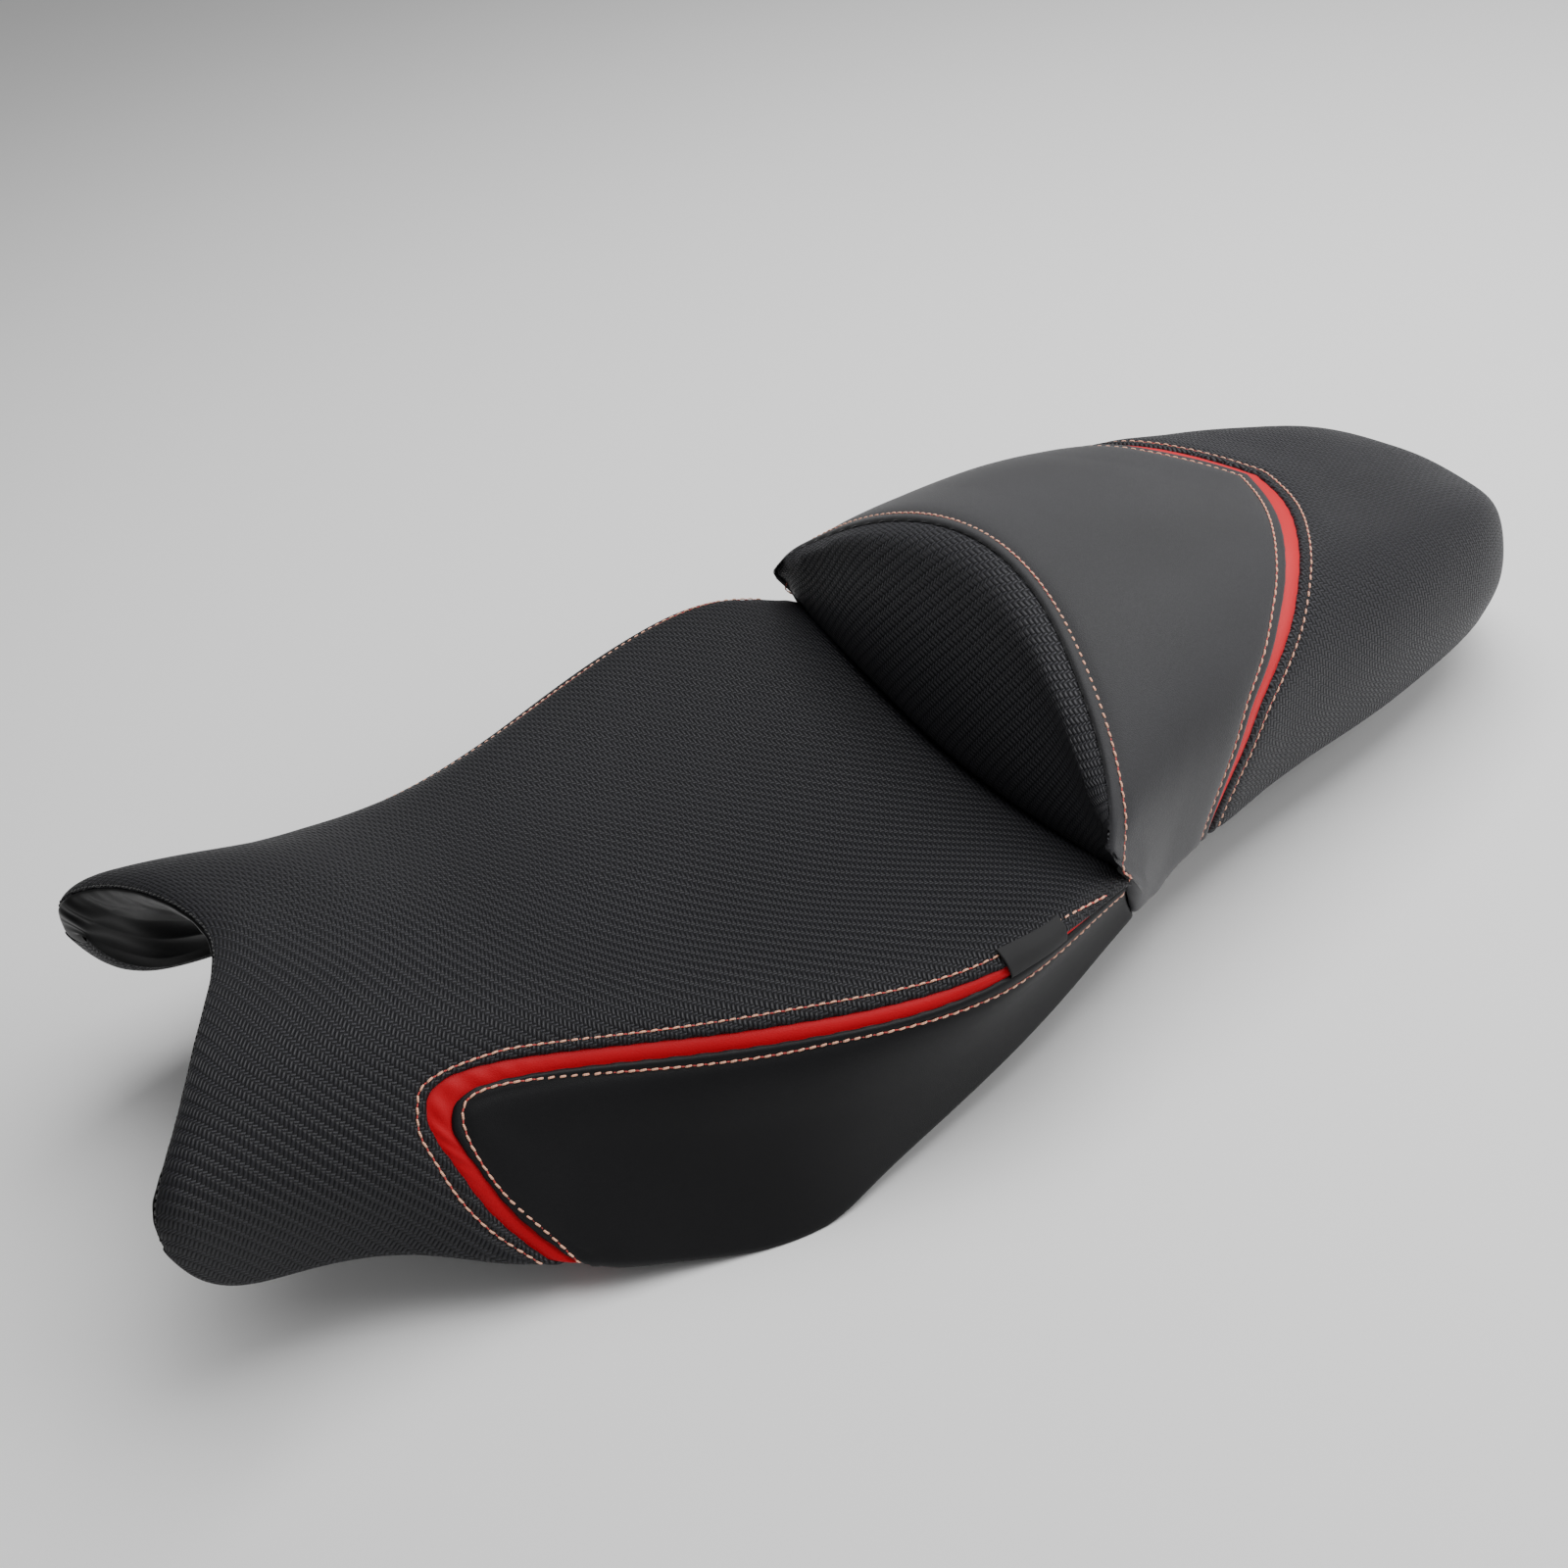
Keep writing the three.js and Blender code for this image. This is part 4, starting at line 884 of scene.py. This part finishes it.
# -------------------- stitching
def stitches(name, panel, line, material, pitch=STITCH, length=3.3, radius=0.46, link=THREAD_SHADE_RED):
    """A row of stitches: each is a short bent thread that dips into the vinyl at both ends."""
    cover = panel.cover
    fine = evenly(cover, line, 0.3)
    base, direction, n, side, _ = across(cover, fine)
    points = panel.moved(base, n)
    arc = run(steps_of(points))
    sides, rings = ((8, 7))
    verts, faces, uvs, which = [], [], [], []

    def sample(at):
        pick = lambda values: np.stack([np.interp(at, arc, values[:, k]) for k in range(3)], axis=1)
        return pick(points), unit(pick(direction)), unit(pick(n)), unit(pick(side))

    def thread(start, stop, rise, slant, size, index):
        at = np.linspace(start, stop, rings)
        p, d, up, across_ = sample(at)
        t = np.linspace(-1, 1, rings)
        lift = rise * (1 - t ** 4) - 0.45 * t ** 4
        centre = p + up * lift[:, None] + across_ * (slant * t)[:, None]
        width = size * np.sqrt(np.maximum(1 - (np.abs(t) ** 3) * 0.72, 0.05))
        angle = np.arange(sides) * 2 * math.pi / sides
        ring = (across_[:, None, :] * np.cos(angle)[None, :, None]
                + up[:, None, :] * np.sin(angle)[None, :, None] * 0.8)
        block = centre[:, None, :] + ring * width[:, None, None]
        first = sum(len(b) for b in verts)
        verts.append(block.reshape(-1, 3))
        quads = grid_faces(rings, sides, closed=True, start=first)
        quads.append(tuple(first + k for k in range(sides))[::-1])
        quads.append(tuple(first + (rings - 1) * sides + k for k in range(sides)))
        faces.extend(quads)
        which.extend([index] * len(quads))
        uvs.append(np.stack([np.repeat(at * 0.001, sides), np.tile(angle / (2 * math.pi), rings)], axis=1))

    count = int((arc[-1] - 1.0) / pitch)
    spare = (arc[-1] - count * pitch) / 2
    for k in range(count):
        start = spare + k * pitch + (pitch - length) / 2
        vary = 0.06 * math.sin(k * 2.3) + 0.04 * math.sin(k * 5.1)
        thread(start + vary, start + length + vary, 0.34 + 0.05 * math.sin(k * 1.7), 0.2 + 0.05 * math.sin(k * 3.1),
               radius * (1 + 0.05 * math.sin(k * 4.3)), 0)
        # Painted shade: a thinner dark red thread sunk between the stitches stands in for the shade beside each
        # stitch.
        if link is not None:
            thread(start + length - 0.45, start + pitch + 0.45, -0.05, -0.1, radius * 0.72, 1)
    obj = mesh_object(name, np.concatenate(verts), faces, material, uv=np.concatenate(uvs),
                      extra_materials=(link,) if link is not None else (), which=which)
    return adopt(obj, "tape")


for name, turn in SIDES:
    stitches("stitch_upper_" + name, panels["rider_top"], turn(curve([(3.87, 4.12)] + UPPER_ROW)), THREAD)
    stitches("stitch_lower_" + name, panels["side_" + name], turn(curve([(4.06, 4.12)] + LOWER_ROW)), THREAD)
stitches("stitch_step", panels["front"], step_row, THREAD)
stitches("stitch_pillion_front", panels["front"], front_row, THREAD)
stitches("stitch_pillion_rear", panels["tail"], rear_row, THREAD)


# -------------------- staples through the hem
def staples(name, cover, first, last):
    """Wire staples that hold the hem to the pan's underside, on both sides."""
    verts, faces = [], []
    for side in (1, -1):
        rail = side * (cover.outer + 0.74)
        line = evenly(cover, straight((first, rail), (last, rail), 200), 24.0)
        point, direction, n, across_, _ = across(cover, line)
        for p, d, up, w in zip(point[1:-1], direction[1:-1], n[1:-1], across_[1:-1]):
            start = 16 * len(verts)
            verts.append([p + d * x + up * (lift + z) + w * y
                          for x, lift in ((-5, -0.6), (-4.5, 0.1), (4.5, 0.1), (5, -0.6))
                          for y, z in ((-0.6, 0), (0.6, 0), (0.6, 0.5), (-0.6, 0.5))])
            faces += grid_faces(4, 4, closed=True, start=start)
            faces += [(start, start + 1, start + 2, start + 3), (start + 15, start + 14, start + 13, start + 12)]
    obj = mesh_object(name, np.reshape(verts, (-1, 3)), faces, ZINC, smooth=False)
    return adopt(obj, "zinc_steel")


staples("hem_staples_rider", rider, 0.5, 8.7)
staples("hem_staples_pillion", pillion, 3.2, 9.2)


# -------------------- lining under the nose
def lining():
    """Thin glossy vinyl sewn to the nose edge, turned under it and drawn back along the pan in soft folds."""
    rails = np.linspace(-4.4, 4.4, 321)
    roll = np.linspace(0, 1, 17)
    flat = np.linspace(0, 1, 46)[1:]
    rc = np.clip(rails, -4, 4)
    seam = np.full_like(rails, NOSE_SEAM)
    lip = rider.at(seam, rails)
    n = normals(rider.at, seam, rc)
    ds, _ = partials(rider.at, seam, rc)
    ahead = -unit(ds)
    start = lip - n * 1.3
    pr = rc * (pan.outer - EDGE) / rider.outer

    def under(u):
        """Along the underside: how the lining stands off the pan, in soft folds that die out inward."""
        hemmed = np.clip((np.abs(rails) - 2.4) / 0.5, 0, 1)
        s = EDGE + (1.75 + 0.8 * hemmed) * u
        pn = normals(pan.at, s, pr)
        centre = 0.62 + 0.16 * np.sin(rails * 1.1 + 0.4)
        fold = 2.6 * np.exp(-((u - centre) / 0.17) ** 2) * (0.5 + 0.5 * np.sin(rails * 1.5 + 1.2))
        drape = 1.5 * math.sin(math.pi * min(u * 1.1, 1)) * (0.7 + 0.3 * np.sin(rails * 2.1 + u * 3))
        pucker = 0.3 * np.sin(rails * 11 + 2.5 * np.sin(u * 5 + rails)) * math.exp(-u * 2.6)
        side = np.clip((4.3 - np.abs(rails)) / 0.7, 0, 1)
        over_hem = 2.1 * hemmed * np.clip((4.35 - np.abs(rails)) / 0.3, 0, 1)
        off = 0.9 + (over_hem + np.maximum(fold + drape + pucker, -0.2) * side) * (1 - u ** 6)
        return pan.at(s, pr) - pn * off[:, None]

    end = under(0.0)
    inner = under(0.03)
    out = unit(end - inner)
    b1 = start + ahead * 3.1 + n * 1.7
    b2 = end + out * 5.5
    rows = []
    for t in roll:
        base = bezier(start, b1, b2, end, t)
        pucker = 0.18 * np.sin(rails * 17 + 1.7 * np.sin(rails * 3)) * math.sin(math.pi * t)
        rows.append(base + ahead * pucker[:, None])
    for u in flat:
        rows.append(under(u))
    points = np.array(rows)
    points[..., 2] = np.maximum(points[..., 2], 0.4)
    shape = points.shape[:2]
    uv = np.stack(np.meshgrid(np.linspace(0, 0.3, shape[1]), np.linspace(0, 0.05, shape[0])), axis=-1)
    outward = np.broadcast_to(ahead, points.shape).reshape(-1, 3)
    return mesh_object("cover_nose_lining", points.reshape(-1, 3), grid_faces(*shape), LINING, uv=uv.reshape(-1, 2),
                       outward=outward)


adopt(lining(), "lining_vinyl", "nose_lining")
stitches("stitch_nose", panels["rider_top"], straight((NOSE_SEAM + 0.06, -3.95), (NOSE_SEAM + 0.06, 3.95), 400),
         THREAD_BLACK, pitch=3.0, length=2.1, radius=0.3, link=None)


# -------------------- label tag
def label_tag():
    """A blank loop of woven tape, sewn in with the side panel and folded up over the accent."""
    line = inner_left[(inner_left[:, 0] > 7.38) & (inner_left[:, 0] < 8.0) & (inner_left[:, 1] < 3)]
    places = evenly(rider, line, 0.7)
    *_, step = across(rider, places)
    if step[len(step) // 2, 1] > 0:
        step = -step
    along = np.linspace(-1, 1, len(places))[:, None]
    reach, turn_at = 9.8, np.linspace(0.3, 2.84, 7)
    top = np.linspace(-0.6, reach, 19)
    w = np.concatenate([top, reach + 0.5 * np.sin(turn_at), top[::-1][:-2]])
    layer = np.concatenate([np.ones(19), np.cos(turn_at), -np.ones(17)])
    lift = np.interp(w, [-0.6, 0.6, 3, 6, 9], [-0.6, 0.3, 0.7, 1.3, 1.5])
    s = places[:, [0]] + step[:, [0]] * w
    r = places[:, [1]] + step[:, [1]] * w
    surface = rider.at(s, r)
    nn = normals(rider.at, s, r)
    h = lift + 0.42 * layer + 0.22 * np.abs(along) ** 3 * np.clip(w / 9, 0, 1) + 0.1 * np.sin(along * 4 + w / 3)
    points = surface + nn * h[..., None]
    uv = np.stack(np.broadcast_arrays(along * 0.014, w * 0.001 + 0.02 * (layer < 0)), axis=-1)
    obj = mesh_object("label_tape", points.reshape(-1, 3), grid_faces(*s.shape), TAPE, uv=uv.reshape(-1, 2),
                      outward=nn.reshape(-1, 3))
    thick = obj.modifiers.new("thickness", "SOLIDIFY")
    thick.thickness = 0.0005
    thick.offset = 0
    return obj


adopt(label_tag(), "tape", "label_tag")


# -------------------- carried-over CAD pieces
def dress(node, material):
    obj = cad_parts[node]
    obj.data.materials.clear()
    obj.data.materials.append(material)


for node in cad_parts:
    if node.startswith("bumper"):
        dress(node, RUBBER)
    elif node.startswith(("front_hook", "striker")):
        dress(node, ZINC)
dress("base_pan", PLASTIC)
dress("valley_tie_strip", TAPE)

# -------------------- floor, light and camera
floor = bpy.data.meshes.new("floor")
floor.from_pydata([(-6, -6, 0), (6, -6, 0), (6, 6, 0), (-6, 6, 0)], [], [(0, 1, 2, 3)])
floor.materials.append(new_material("floor", (0.93, 0.93, 0.93), 0.9))
floor_obj = bpy.data.objects.new("floor", floor)
bpy.context.scene.collection.objects.link(floor_obj)


def area_light(name, place, target, size, power):
    light = bpy.data.lights.new(name, "AREA")
    light.shape = "RECTANGLE"
    light.size, light.size_y = size
    light.energy = power
    obj = bpy.data.objects.new(name, light)
    obj.location = place
    obj.rotation_euler = (Vector(target) - Vector(place)).to_track_quat("-Z", "Y").to_euler()
    bpy.context.scene.collection.objects.link(obj)


area_light("overhead", (-0.55, -0.1, 1.6), (-0.1, 0, 0.05), (1.7, 1.3), 36)
area_light("rear", (-1.3, 1.0, 1.0), (-0.2, 0, 0.1), (0.8, 0.8), 12)
world = bpy.data.worlds.new("studio")
world.use_nodes = True
world.node_tree.nodes["Background"].inputs["Color"].default_value = (1, 1, 1, 1)
world.node_tree.nodes["Background"].inputs["Strength"].default_value = 0.28
bpy.context.scene.world = world

camera = bpy.data.cameras.new("camera")
camera.lens = 41.625
camera.sensor_width = 36
camera.clip_start = 0.01
camera_obj = bpy.data.objects.new("camera", camera)
right, up, back = (-0.8706, 0.4619, -0.1692), (-0.4012, -0.4676, 0.7876), (0.2847, 0.7536, 0.5925)
turn = Matrix((right, up, back)).transposed().to_quaternion().to_matrix().to_4x4()
camera_obj.matrix_world = Matrix.Translation((0.278, 0.620, 0.560)) @ turn
bpy.context.scene.collection.objects.link(camera_obj)
bpy.context.scene.camera = camera_obj
